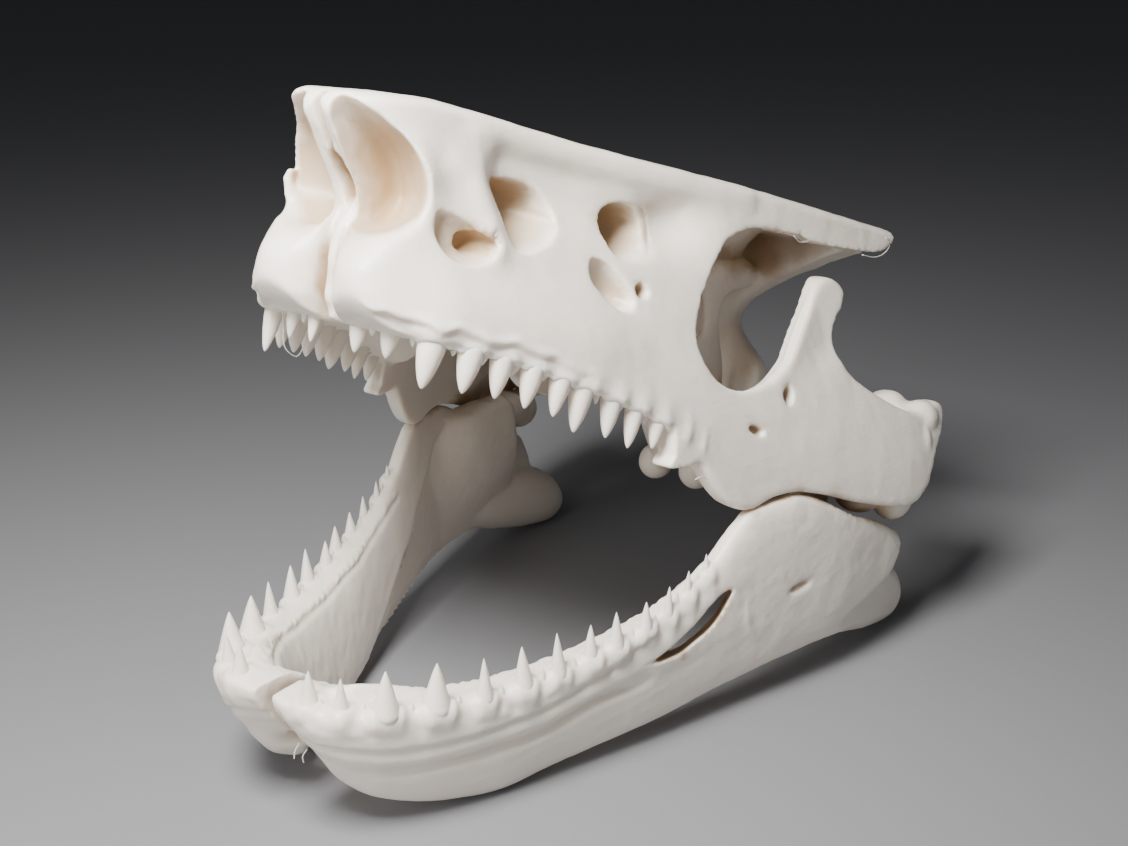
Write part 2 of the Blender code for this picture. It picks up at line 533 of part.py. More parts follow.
# The upper skull in five nodes, parted by thin cuts
half = SEAM / 2
rear_along = (SEAM_PLACE + half, FAR)
below_roof = (-FAR, ROOF_SEAM - half)
pieces = [box_piece("snout", (-FAR, FAR), (-FAR, SEAM_PLACE - half), (-FAR, FAR)),
          box_piece("skull_roof", (-FAR, FAR), rear_along, (ROOF_SEAM + half, FAR)),
          box_piece("braincase", (half - BRAINCASE_HALF, BRAINCASE_HALF - half), rear_along, below_roof),
          box_piece("cheek_left", (BRAINCASE_HALF + half, FAR), rear_along, below_roof),
          box_piece("cheek_right", (-FAR, -BRAINCASE_HALF - half), rear_along, below_roof)]
bpy.data.objects.remove(cranium, do_unlink=True)

for obj in pieces + jaws:
    obj.data.transform(Matrix.Translation((0, JOINT_TO_MIDDLE * MM, 0)))
    stuff = bpy.data.materials.new(obj.name + "_resin")
    stuff.use_nodes = True
    shade = stuff.node_tree.nodes["Principled BSDF"]
    shade.inputs["Base Color"].default_value = (0.86, 0.83, 0.77, 1)
    shade.inputs["Roughness"].default_value = 0.5
    obj.data.materials.clear()
    obj.data.materials.append(stuff)
    print(obj.name, count_triangles(obj))
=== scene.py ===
import bpy, bmesh, json, math, random
import numpy as np
from mathutils import Matrix, Vector
from mathutils.bvhtree import BVHTree
from mathutils.kdtree import KDTree

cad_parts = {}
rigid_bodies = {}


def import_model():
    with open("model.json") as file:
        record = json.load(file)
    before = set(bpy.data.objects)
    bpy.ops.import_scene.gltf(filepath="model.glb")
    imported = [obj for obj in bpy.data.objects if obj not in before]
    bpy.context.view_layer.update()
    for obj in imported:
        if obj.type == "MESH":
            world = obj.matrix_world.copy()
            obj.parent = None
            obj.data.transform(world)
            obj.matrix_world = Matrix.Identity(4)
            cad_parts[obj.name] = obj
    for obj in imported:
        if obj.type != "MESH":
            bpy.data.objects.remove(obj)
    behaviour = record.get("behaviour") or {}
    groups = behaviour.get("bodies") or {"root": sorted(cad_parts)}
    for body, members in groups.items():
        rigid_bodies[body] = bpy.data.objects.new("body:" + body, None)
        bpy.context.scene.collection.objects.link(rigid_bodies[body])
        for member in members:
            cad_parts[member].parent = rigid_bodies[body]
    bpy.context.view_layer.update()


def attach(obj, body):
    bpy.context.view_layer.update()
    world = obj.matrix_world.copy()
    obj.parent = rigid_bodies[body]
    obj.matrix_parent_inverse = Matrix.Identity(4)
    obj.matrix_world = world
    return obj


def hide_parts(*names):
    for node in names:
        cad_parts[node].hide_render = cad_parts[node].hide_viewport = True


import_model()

mm = 0.001
fine = 0.42       # voxel of the skins, mm
far = 200.0

pose = {
    "jointHeight": 36.9,                 # jaw joint over the floor
    "gape": math.radians(20.0),          # upper skull tipped back
    "middle": 51.4,                      # jaw joint to the middle of the model, along the floor
}

skull = {                                # half-widths and heights by distance along from the joint, mm
    "gumHalf": ((-135, 5), (-134, 10), (-132, 15), (-127, 19.8), (-119, 24.5), (-107, 29.5),
                (-93, 34.5), (-75, 39.5), (-58, 44), (-41, 49), (-15, 57), (12, 64), (30, 66)),
    "roofHalf": ((-138.5, 3), (-137.5, 6.5), (-135, 9.5), (-130, 12), (-120, 14.5), (-95, 20),
                 (-70, 28), (-45, 35), (-20, 41), (5, 46), (30, 50)),
    "roofLevel": ((-138.5, 55), (-136, 57.2), (-119, 60), (-85, 61), (-45, 63), (-12, 64), (30, 65)),
    "gumLevel": ((-138.5, 54), (-137, 50), (-135.4, 45), (-134.8, 28), (-133.4, 24), (-130.4, 21),
                 (-127, 19), (-124, 18.1), (-107, 16.8), (-78, 13), (-61, 8.5), (-50, 5)),
    "roofThick": 6.0,
    "wallThick": 4.8,
    "vaultDepth": 12.0,
    "vaultStart": -119.0,
    "gumThick": 6.0,
    "faceDip": 2.6,
    "muzzleSwell": 1.6,
    "noseSwell": 2.6,
}

outlines = {                             # side outlines as (along, up) from the joint, mm
    "openingRim": ((-34, 55.6), (-43, 54.2), (-49.5, 50.5), (-54.5, 43), (-59, 34), (-59.6, 27.5),
                   (-55.5, 22.3), (-48.8, 20.6), (-41, 23.2), (-34.4, 28), (-29.2, 36), (-24.2, 43.6)),
    "spur": ((-21.4, 47.2), (-16.8, 49.3), (-12.2, 47.6), (-13, 43.8), (-16.8, 39), (-17.2, 34),
             (-14, 29.8), (-8, 27)),
    "cheekBack": ((0, 25), (8, 23.6), (15, 25.2), (20, 27.6), (22.8, 26.6), (21.5, 22), (17.8, 15.5),
                  (15, 8), (11, 3.2)),
    "cheekFoot": ((4, 1.7), (-10, 1.5), (-21, 2.0), (-29, 1.6), (-35, -0.2), (-41, -3.6), (-47, -3.0),
                  (-52, 0), (-57, 4.2), (-62, 8.5)),
    "hornTip": ((7, 72), (6.6, 64.8), (6.3, 62.2), (4.4, 60.1), (0.5, 58.3), (-8, 57), (-20, 56)),
    "rearWing": ((0, 63), (43, 63), (44, 60), (41, 57.6), (34, 54.4), (28, 50.6), (21, 46),
                 (16.5, 42.5), (14.5, 39), (15, 36), (18.5, 32.5), (23, 29), (25, 25), (24.5, 18),
                 (15, 13), (0, 12)),
    "innerPlate": ((-66, 24), (-66, 36), (-40, 44), (-28, 48), (-8, 51.5), (-6, 45), (-14, 42.5),
                   (-17.6, 38), (-15, 32), (-10, 24), (-9, 15), (-18, 11), (-40, 11), (-56, 22)),
    "plateSlit": ((-28.4, 31.4), (-28.2, 39.4), (-25.6, 39.8), (-23.4, 31.8)),
    "nostril": ((-152, 56), (-139, 54.6), (-133.8, 52.8), (-129.8, 51), (-126.6, 48.4), (-124.4, 44.8),
                (-123.6, 41), (-125.4, 37.4), (-129, 34.8), (-137, 32.6), (-152, 32)),
    "faceOpening": ((-107.6, 48.4), (-103.4, 50.1), (-98, 50.2), (-94, 48.5), (-92.4, 45),
                    (-94.4, 41.6), (-98, 38.8), (-102, 37.3), (-105, 38.4), (-107, 43)),
    "eye": ((-81.2, 46.3), (-79.4, 50.3), (-76.1, 51.9), (-72, 51.6), (-68.5, 49), (-69.5, 44.6),
            (-73.5, 41.8), (-77.4, 40.8), (-80, 42)),
    "eyeGroove": ((-87.2, 40.8), (-87.9, 36.5), (-84.8, 32.9), (-80.8, 31), (-77.3, 31.4),
                  (-76.4, 33.7), (-78.8, 37.2), (-82.8, 40.4)),
    "smallHole": ((-114.8, 37.8), (-111.6, 39.4), (-108.4, 38.8), (-108.2, 36), (-111.4, 34.2),
                  (-114.6, 35.2)),
    "smallDish": ((-123.5, 41.5), (-118.5, 41.6), (-113, 40), (-108.4, 37.6), (-109.6, 34.4),
                  (-114.5, 32.4), (-119.5, 33), (-123, 36.5)),
    "jawSlot": ((-68.7, 22), (-64.6, 22.9), (-57.1, 26.6), (-51.2, 30.8), (-47.4, 32), (-48.1, 29.9),
                (-51.8, 25.5), (-57, 22.8), (-61.5, 21.6)),
    "jawBack": ((15.5, 26.5), (8, 18.5), (-17, 10.5), (-17, -5), (45, -5), (45, 26.5)),
    "jawFlange": ((-40, 36), (-33, 44), (-20, 45.8), (-8, 45.6), (-1.5, 44.8), (0.3, 41), (0.8, 34.7),
                  (2.4, 24), (0, 15), (-22, 12), (-40, 20)),
}

blobs = (                                # small drips of resin: place and radius, mm
    (20.2, -121.4, 41.6, 0.8), (20.8, -119.8, 40.4, 1.0), (20.6, -117.9, 40.0, 0.8),
    (21.0, -116.4, 39.2, 1.1), (20.8, -114.6, 38.0, 0.9), (21.0, -113.2, 37.4, 1.0),
    (21, -111.8, 37.0, 0.7), (-16.5, -124.9, 43.2, 0.9), (-17, -124.6, 41.8, 1.2),
    (-16.8, -124.6, 40.2, 1.0), (-16.6, -125, 38.8, 0.9), (21.3, -74.4, 48.0, 1.7),
    (20.4, -74.9, 49.2, 1.0), (20, -1.6, 34.4, 0.9), (-19, -2, 33, 0.9),
)

carvings = (                             # soft lines on the skull's side: height, width, then places
    (0.5, 2.4, (-113, 56.6), (-95, 57.3), (-80, 57.6), (-62, 58.5), (-45, 60)),    # brow
    (-0.5, 2.2, (-106, 53.5), (-90, 53.8), (-76, 54.6), (-62, 54)),
    (0.15, 4.0, (-70, 31), (-62, 24), (-56, 15)),
    (0.4, 2.2, (-37.5, 24.5), (-31.5, 31.8), (-25.5, 41)),    # front of the spur
    (-0.5, 3.5, (-24, 31), (-20, 36)),
)

gumLedge = {                             # wavy step where the gum ends, mm
    "height": 3.0,
    "front": -123,
    "step": 0.75,
    "bead": 0.35,
}

scoop = {                                # shallow hollow behind the eye, rising to the roof
    "middle": (-66, 50),
    "rise": 0.37,
    "depth": 2.4,
    "size": (10, 4.6),
}

nose = {                                 # front of the nose, mm
    "bar": ((16, -126), (22, -126.6), (26, -127), (30, -127.6), (34.5, -127.3), (38, -126),
            (40.8, -127), (45.5, -131), (49.5, -133.4), (54, -136.5), (57, -138)),
    "halves": ((0, 0), (0.9, 0.4), (1.5, 3.8), (2.4, 3.8), (2.9, -0.8), (3.7, -2.4), (5.5, -4.3),
               (8, -5.7), (11, -6.3), (14, -5.2), (17, -2.4), (19, 0), (24, 4)),
    "notch": ((0, 4.0), (0.35, 3.6), (0.8, -1.6), (3, -2.4), (24, -3)),
}

jaw = {                                  # one lower jaw half: centre line, then sizes along it, mm
    "line": ((1.8, -131.5), (9, -130), (14.5, -125.5), (19.5, -117.5), (24.5, -107), (30.5, -91),
             (36.5, -74), (41.5, -58), (46.5, -42), (51, -26), (54.5, -9), (56.3, 14)),
    "rim": ((-131.5, 30.5), (-125, 29.4), (-117, 28), (-107, 26.8), (-97, 26.4), (-88, 26.7),
            (-80, 27.5), (-72, 28.9), (-66, 30), (-61.5, 31.4), (-56.7, 33.7), (-51.9, 36.5),
            (-49, 38.4), (-46.5, 41), (-43, 44.5), (-38.5, 47.6), (-27.5, 47.8), (-22, 46.4),
            (-16, 43.4), (-11, 41), (-4, 37.4), (1, 34.6), (8, 31), (14.5, 27.5)),
    "innerRim": ((-131.5, 30.5), (-123.3, 32), (-118.4, 31), (-109.6, 28.2), (-95, 27.3), (-86, 27.6),
                 (-77, 28.8), (-66.6, 30.6), (-57, 33), (-49.5, 35.2), (-44.6, 37.4), (-39.4, 40),
                 (-31, 44.5), (-27, 46), (-22.5, 44.5), (-16, 41), (-9, 37), (2, 31.5), (14.5, 26)),
    "foot": ((-131.5, 18.5), (-130.2, 14.5), (-125.5, 8.6), (-117.5, 4), (-107, 1.1), (-97, -0.1),
             (-85, 1.7), (-58, 4.5), (-42, 7), (-18, 8.5), (9, 7)),
    "outer": ((-131.5, 1.2), (-130.6, 3.4), (-129, 4.8), (-117, 5.7), (-100, 5.2), (-70, 4),
              (-26, 4.25), (14, 5)),
    "inner": ((-131.5, 11.5), (-130, 10), (-125.5, 7.5), (-117.5, 5.8), (-107, 5.2), (-70, 4.4),
              (-26, 4), (14, 4.5)),
    "lean": ((-131.5, 8), (-117, 7), (-90, 5), (-58, 3), (9, 1)),
    "crease": ((-84, -6), (-77.6, 3.6), (-68.9, 8.6), (-59.3, 15.6), (-49, 22.8), (-38.4, 32.7),
               (-25.9, 43.5)),
    "grooveLevel": ((-131, 20), (-125, 16), (-115, 14.4), (-92, 14.1), (-75, 17.3)),
    "grooveDeep": 1.3,
    "band": 1.1,                         # how far the tooth-bearing band stands out
    "roll": 0.7,                         # and the roll under it
    "overlap": 2.6,                      # step where the front bone laps over the rear one, inside
    "wall": 3.2,                         # how far the inner wall stands inside the teeth
    "gumFall": 0.6,                      # how far the gum falls away outside them
    "ledge": ((-134, 26.4), (-128.6, 22.6), (-116, 20), (-105, 19.4), (-92, 20), (-83, 21.8), (-70, 26),
              (-56, 33)),
    "backSide": 56.5,
    "chinGap": 2.1,
}

teeth = {                                # across, along, tip level, neck radius, mm, from the front
    "upper": ((5.6, -122.5, 13.1, 1.7), (12.2, -121.3, 13.0, 1.8), (20, -118.8, 9.7, 2.5),
              (24, -112.2, 10, 2.3), (27.2, -106.1, 9.7, 2.1), (30, -99.6, 9, 2.1),
              (31.8, -93.3, 8.9, 2.0), (33.4, -87.9, 6.7, 2.3), (35.2, -80.7, 6.7, 2.0),
              (36.8, -74.9, 5.4, 1.8), (38.7, -68.8, 5.8, 1.6), (40.5, -62.5, 4.3, 1.1),
              (41.6, -57.9, 3.6, 0.7)),
    "lower": ((9.2, -130, 36.5, 1.8), (14.9, -127.6, 35.9, 1.5), (20.6, -122, 36.7, 2.6),
              (24.9, -112.9, 35.6, 2.7), (29.2, -103.9, 34.5, 1.6), (31.8, -95.4, 34.2, 1.9),
              (34.6, -88, 34.5, 1.6), (36.6, -80.3, 33.7, 1.6), (39, -74.7, 35, 1.6),
              (41.1, -67.5, 35.1, 1.5), (42.6, -61.6, 36.9, 1.15), (43.6, -55.9, 38.4, 1.0),
              (44.8, -50.7, 40.6, 0.9)),
    "upperShape": (1.5, 0.62),           # how the taper runs: blunt above, hollow-sided below
    "lowerShape": (0.92, 0.78),
    "sink": 1.1,
    "farSize": (0.7, 0.75, 0.7, 0.85),   # the first upper teeth of the right side are thinner
    "spread": 0.05,
    "seed": 11,
}


def follow(keys, at):                    # smooth value through a few (place, value) sizes
    xs = np.array([k[0] for k in keys], float)
    ys = np.array([k[1] for k in keys], float)
    rise = np.diff(ys) / np.diff(xs)
    slope = np.zeros(len(xs))
    slope[0] = rise[0]
    both = np.where(rise[:-1] * rise[1:] > 0)[0]
    slope[both + 1] = 2 * rise[both] * rise[both + 1] / (rise[both] + rise[both + 1])
    at = np.clip(np.asarray(at, float), xs[0], xs[-1])
    i = np.clip(np.searchsorted(xs, at, side="right") - 1, 0, len(xs) - 2)
    run = xs[i + 1] - xs[i]
    t = (at - xs[i]) / run
    return (ys[i] * (2 * t**3 - 3 * t**2 + 1) + slope[i] * run * (t**3 - 2 * t**2 + t)
            + ys[i + 1] * (3 * t**2 - 2 * t**3) + slope[i + 1] * run * (t**3 - t**2))


def ease(t):
    t = np.clip(t, 0.0, 1.0)
    return t * t * (3 - 2 * t)


def hump(distance, width):
    return np.exp(-(distance / width) ** 2)


def sideHalf(along, up):                 # half-width of the upper skull's outer side
    gum, roof = follow(skull["gumHalf"], along), follow(skull["roofHalf"], along)
    top = follow(skull["roofLevel"], along)
    wide = gum + (roof - gum) * ease((up - 5) / (top - 5))
    dip = skull["faceDip"] * hump(up - 49, 6) * ease((along + 113) / 8) * ease((-52 - along) / 14)
    swell = skull["muzzleSwell"] * hump(up - 25, 7) * ease((along + 128) / 10) * ease((-70 - along) / 20)
    swell += skull["noseSwell"] * hump(up - 46, 6) * hump(along + 127, 6)
    return np.maximum(wide - dip + swell, 1.0)


def newObject(name, data):
    obj = bpy.data.objects.new(name, data)
    bpy.context.collection.objects.link(obj)
    return obj


def addMesh(name, verts, faces):
    mesh = bpy.data.meshes.new(name)
    mesh.from_pydata((np.array(verts, float) * mm).tolist(), [], faces)
    mesh.validate()
    obj = newObject(name, mesh)
    bm = bmesh.new()
    bm.from_mesh(mesh)
    bmesh.ops.triangulate(bm, faces=[f for f in bm.faces if len(f.verts) > 4])
    bmesh.ops.recalc_face_normals(bm, faces=bm.faces)
    bm.to_mesh(mesh)
    bm.free()
    return obj


def sideFaces(rows, count):              # faces between neighbouring rings
    faces = []
    for r in range(rows - 1):
        for k in range(count):
            n = (k + 1) % count
            faces.append((r * count + k, r * count + n, (r + 1) * count + n, (r + 1) * count + k))
    return faces


def loft(name, rings):                   # closed skin over a row of equal rings
    count, verts = len(rings[0]), [p for ring in rings for p in ring]
    ends = [tuple(range(count - 1, -1, -1)), tuple(len(verts) - count + k for k in range(count))]
    return addMesh(name, verts, ends + sideFaces(len(rings), count))


def rounded(points, steps=8):            # closed outline that runs smoothly through its points
    p1 = np.array(points, float)
    p0, p2, p3 = np.roll(p1, 1, 0), np.roll(p1, -1, 0), np.roll(p1, -2, 0)
    slope, bend, twist = p2 - p0, 2 * p0 - 5 * p1 + 4 * p2 - p3, 3 * p1 - p0 - 3 * p2 + p3
    out = []
    for i in range(len(p1)):
        for s in range(steps):
            t = s / steps
            out.append(tuple(0.5 * (2 * p1[i] + slope[i] * t + bend[i] * t * t + twist[i] * t**3)))
    return out


def slab(name, low, high):               # solid between two equal outlines
    n = len(low)
    faces = [tuple(range(n)), tuple(range(2 * n - 1, n - 1, -1))]
    faces += [(k, k + n, (k + 1) % n + n, (k + 1) % n) for k in range(n)]
    return addMesh(name, list(low) + list(high), faces)


def prism(name, outline, x0, x1):        # slab with a side outline, standing across the skull
    return slab(name, [(x0, *p) for p in outline], [(x1, *p) for p in outline])


def rearPlate(name, outline, y0, y1):    # slab with an outline seen from the back, both sides alike
    both = list(outline) + [(-x, z) for x, z in reversed(outline) if x > 0]
    return slab(name, [(x, y0, z) for x, z in both], [(x, y1, z) for x, z in both])


def ball(name, centre, radii, turn=0.0, swing=0.0):   # egg-shaped form, turned in the side plane
    bm = bmesh.new()
    bmesh.ops.create_uvsphere(bm, u_segments=40, v_segments=24, radius=1.0)
    size = Matrix.Diagonal(Vector((*[r * mm for r in radii], 1)))
    way = Matrix.Rotation(swing, 4, "Z") @ Matrix.Rotation(turn, 4, "X")
    bmesh.ops.transform(bm, matrix=Matrix.Translation(Vector(centre) * mm) @ way @ size, verts=bm.verts)
    mesh = bpy.data.meshes.new(name)
    bm.to_mesh(mesh)
    bm.free()
    return newObject(name, mesh)


def bowl(name, outline, outside, depth, s=1, shift=(0, 0), floor=0.35, grow=1.12):   # smaller inwards
    edge = np.array(rounded(outline))
    mid = edge.mean(0)
    start = outside + 6
    rings = [[(s * start, *(mid + (p - mid) * grow)) for p in edge]]
    for t in np.linspace(0.06, 1, 17):
        size = floor * 0.8 if t == 1 else floor + (1 - floor) * math.sqrt(1 - t * t)
        x = start - (depth + 6) * (0.25 + 0.75 * t)
        rings.append([(s * x, *(mid + (p - mid) * size + np.array(shift) * t)) for p in edge])
    return loft(name, rings)


def tube(name, spots, radii, sides=28, steps=5):   # bar through a few places, radii as (across, along)
    marks = range(len(spots))
    places = np.linspace(0, len(spots) - 1, (len(spots) - 1) * steps + 1)
    route = np.stack([follow([(i, spots[i][c]) for i in marks], places) for c in range(3)], 1)
    sizes = np.stack([follow([(i, radii[i][c]) for i in marks], places) for c in range(2)], 1)
    rings = []
    for i, spot in enumerate(route):
        ahead = Vector(route[min(i + 1, len(route) - 1)] - route[max(i - 1, 0)]).normalized()
        side = Vector((1, 0, 0)) - ahead * ahead.x
        if side.length < 0.3:
            side = Vector((0, 1, 0)) - ahead * ahead.y
        side.normalize()
        other = ahead.cross(side)
        a, b = sizes[i]
        rings.append([tuple(Vector(spot) + side * (a * math.cos(k * math.tau / sides))
                            + other * (b * math.sin(k * math.tau / sides))) for k in range(sides)])
    return loft(name, rings)


def applyModifier(obj, kind, **settings):
    mod = obj.modifiers.new(kind.title(), kind)
    for key, value in settings.items():
        setattr(mod, key, value)
    bpy.context.view_layer.update()
    done = bpy.data.meshes.new_from_object(obj.evaluated_get(bpy.context.evaluated_depsgraph_get()))
    obj.modifiers.clear()
    obj.data = done
    return obj


def combine(obj, others, how):           # one Boolean with several closed pieces, which then go
    group = bpy.data.collections.new(obj.name + "With")
    bpy.context.scene.collection.children.link(group)
    for other in others:
        group.objects.link(other)
    applyModifier(obj, "BOOLEAN", operation=how, operand_type="COLLECTION", collection=group,
                  solver="MANIFOLD")
    for other in list(group.objects):
        bpy.data.objects.remove(other, do_unlink=True)
    bpy.data.collections.remove(group)
    return obj


def coords(obj):
    co = np.empty(len(obj.data.vertices) * 3)
    obj.data.vertices.foreach_get("co", co)
    return co.reshape(-1, 3)


def setCoords(obj, co):
    obj.data.vertices.foreach_set("co", np.ascontiguousarray(co).ravel())
    obj.data.update()


def normals(obj):
    no = np.empty(len(obj.data.vertices) * 3, np.float32)
    obj.data.vertex_normals.foreach_get("vector", no)
    return no.reshape(-1, 3).astype(float)


def keepLargest(obj):                    # loose scraps and sealed pockets go
    bm = bmesh.new()
    bm.from_mesh(obj.data)
    left, best = set(bm.verts), set()
    while left:
        seed = left.pop()
        found, front = {seed}, [seed]
        while front:
            for edge in front.pop().link_edges:
                for near in edge.verts:
                    if near not in found:
                        found.add(near)
                        front.append(near)
        left -= found
        if len(found) > len(best):
            best = found
    bmesh.ops.delete(bm, geom=[v for v in bm.verts if v not in best], context="VERTS")
    bm.to_mesh(obj.data)
    bm.free()


def waves(co, size, seed, count=28):     # soft uneven field, about -1 to 1, lumps of this size in mm
    draw = np.random.default_rng(seed)
    way = draw.normal(size=(count, 3))
    way *= (math.tau / size * draw.uniform(0.6, 1.5, count) / np.linalg.norm(way, axis=1))[:, None]
    shift = draw.uniform(0, math.tau, count)
    out = np.zeros(len(co))
    for k in range(count):
        out += np.sin(co @ way[k] + shift[k])
    return out / math.sqrt(count / 2)


def nearLine(a, b, path):                # distance of places (a, b) from a line through a few points
    best = np.full(len(a), 1e9)
    for (a0, b0), (a1, b1) in zip(path[:-1], path[1:]):
        da, db = a1 - a0, b1 - b0
        t = np.clip(((a - a0) * da + (b - b0) * db) / (da * da + db * db), 0, 1)
        best = np.minimum(best, np.hypot(a - a0 - t * da, b - b0 - t * db))
    return best


def melt(obj, weight, turns):            # lets edges run soft where the weight is above zero
    edges = np.empty(len(obj.data.edges) * 2, np.int32)
    obj.data.edges.foreach_get("vertices", edges)
    edges = edges.reshape(-1, 2)
    a, b = edges[(weight[edges[:, 0]] > 0.02) | (weight[edges[:, 1]] > 0.02)].T
    co = coords(obj)
    count = np.maximum(np.bincount(a, minlength=len(co)) + np.bincount(b, minlength=len(co)), 1)
    for _ in range(turns):
        for axis in range(3):
            total = np.bincount(a, co[b, axis], len(co)) + np.bincount(b, co[a, axis], len(co))
            co[:, axis] += np.where(weight > 0.02, 0.6 * weight * (total / count - co[:, axis]), 0)
    setCoords(obj, co)


def toPose(co):                          # upper skull turned about the jaw joint, metres
    y, z = co[:, 1].copy(), co[:, 2].copy()
    c, s = math.cos(pose["gape"]), math.sin(pose["gape"])
    co[:, 1] = y * c + z * s + pose["middle"] * mm
    co[:, 2] = -y * s + z * c + pose["jointHeight"] * mm
    return co


def toothSpots(upper):                   # rooted so that each tooth stays inside the gum
    spots = []
    for across, along, tip, radius in teeth["upper" if upper else "lower"]:
        if upper:
            gum = float(sideHalf(along, float(follow(skull["gumLevel"], along)) + 0.5))
            across = min(across, gum - radius - 0.5)
        spots.append((across, along, tip, radius))
    return spots


def frontBlock():                        # solid snout with a vaulted palate
    rings = []
    for along in np.linspace(-138.3, -62, 150):
        low, top = float(follow(skull["gumLevel"], along)), float(follow(skull["roofLevel"], along))
        gum, edge = float(sideHalf(along, low)), float(follow(skull["roofHalf"], along))
        vault = min(skull["vaultDepth"], 0.5 * gum) * float(ease((along - skull["vaultStart"]) / 10))
        lip = gum - min(skull["gumThick"], gum * 0.5)
        half = [(lip * t, low + vault * (1 - t**3)) for t in np.arange(12) / 12]
        half.append((gum - 1.2, low - 0.2))
        half += [(float(sideHalf(along, up)), up) for up in np.linspace(low + 0.8, top - 1.6, 44)]
        half += [(edge - 0.7, top - 0.7), (edge - 2.2, top - 0.2)]
        half += [(edge * t - 1, top) for t in (0.8, 0.6, 0.4, 0.2)]
        other = [(-x, along, up) for x, up in reversed(half[1:])]
        rings.append([(x, along, up) for x, up in half] + other)
    return loft("skullSkin", rings)


def rearShell():                         # roof plate and side walls, cut to their side outline
    rings = []
    for along in np.linspace(-68, 31, 130):
        top, edge = float(follow(skull["roofLevel"], along)), float(follow(skull["roofHalf"], along))
        under, wall = top - skull["roofThick"], skull["wallThick"]
        outer = [(float(sideHalf(along, up)), up) for up in np.linspace(-9, top - 1.6, 50)]
        inner = [(float(sideHalf(along, up)) - wall, up) for up in np.linspace(-9, under - 3, 44)]
        outer += [(edge - 0.7, top - 0.7), (edge - 2.2, top - 0.2), (edge * 0.5, top)]
        inner += [(edge - wall - 4, under), (edge * 0.4, under)]
        loop = [(x, along, up) for x, up in outer] + [(-x, along, up) for x, up in reversed(outer)]
        loop += [(-x, along, up) for x, up in inner] + [(x, along, up) for x, up in reversed(inner)]
        rings.append(loop)
    shell = loft("rearShell", rings)
    o = outlines
    line = rounded(o["hornTip"] + o["openingRim"] + o["spur"] + o["cheekBack"] + o["cheekFoot"])[:-8]
    side = [(-66, 80), (10, 80)] + line + [(-66, 10)]
    return combine(shell, [prism("rearOutline", side, -90, 90)], "INTERSECT")


def roofEnd():                           # trims the back of the roof to one hollow curve, horn to horn
    xs = np.linspace(-70, 70, 71)
    line = list(zip(xs, 1.6 + 6 * ease((np.abs(xs) - 20) / 26))) + [(70, 60), (-70, 60)]
    return slab("roofEnd", [(x, a, 50) for x, a in line], [(x, a, 80) for x, a in line])


def noseCut():                           # takes away what lies before the front of the nose
    xs = np.array([0, 0.35, 0.8, 1.2, 1.5, 1.9, 2.3, 2.6, 2.9, 3.3, 3.7, 4.4, 5.5, *range(7, 20, 2), 22])
    xs = np.concatenate((-xs[:0:-1], xs))
    rings = []
    for up in np.linspace(6, 66, 90):
        low = float(1 - ease((up - 26) / 10))    # the halves bulge below, and part narrowly above
        high = float(ease((up - 43) / 10))
        front = float(follow(nose["bar"], up)) + 1.6 * float(ease((22 - up) / 3))
        line = front + follow(nose["halves"], np.abs(xs)) * (low + 0.25 * (1 - low) * (1 - high))
        line += follow(nose["notch"], np.abs(xs)) * high
        rings.append([(x, a, up) for x, a in zip(xs, line)] + [(22, -170, up), (-22, -170, up)])
    return loft("noseCut", rings)


def openingBevel(s):                     # thins the side wall all round the big rear opening
    edge = np.array(rounded(outlines["openingRim"] + ((-21, 51), (-25, 56))))
    mid = edge.mean(0)
    wall = sideHalf(edge[:, 0], edge[:, 1])
    rings = []
    for inset, grow in ((-9, 1.0), (0.9, 1.0), (2.4, 1.09), (7, 1.2)):
        ring = mid + (edge - mid) * grow
        rings.append([(s * (x - inset), *p) for x, p in zip(wall, ring)])
    return loft("openingBevel", rings)


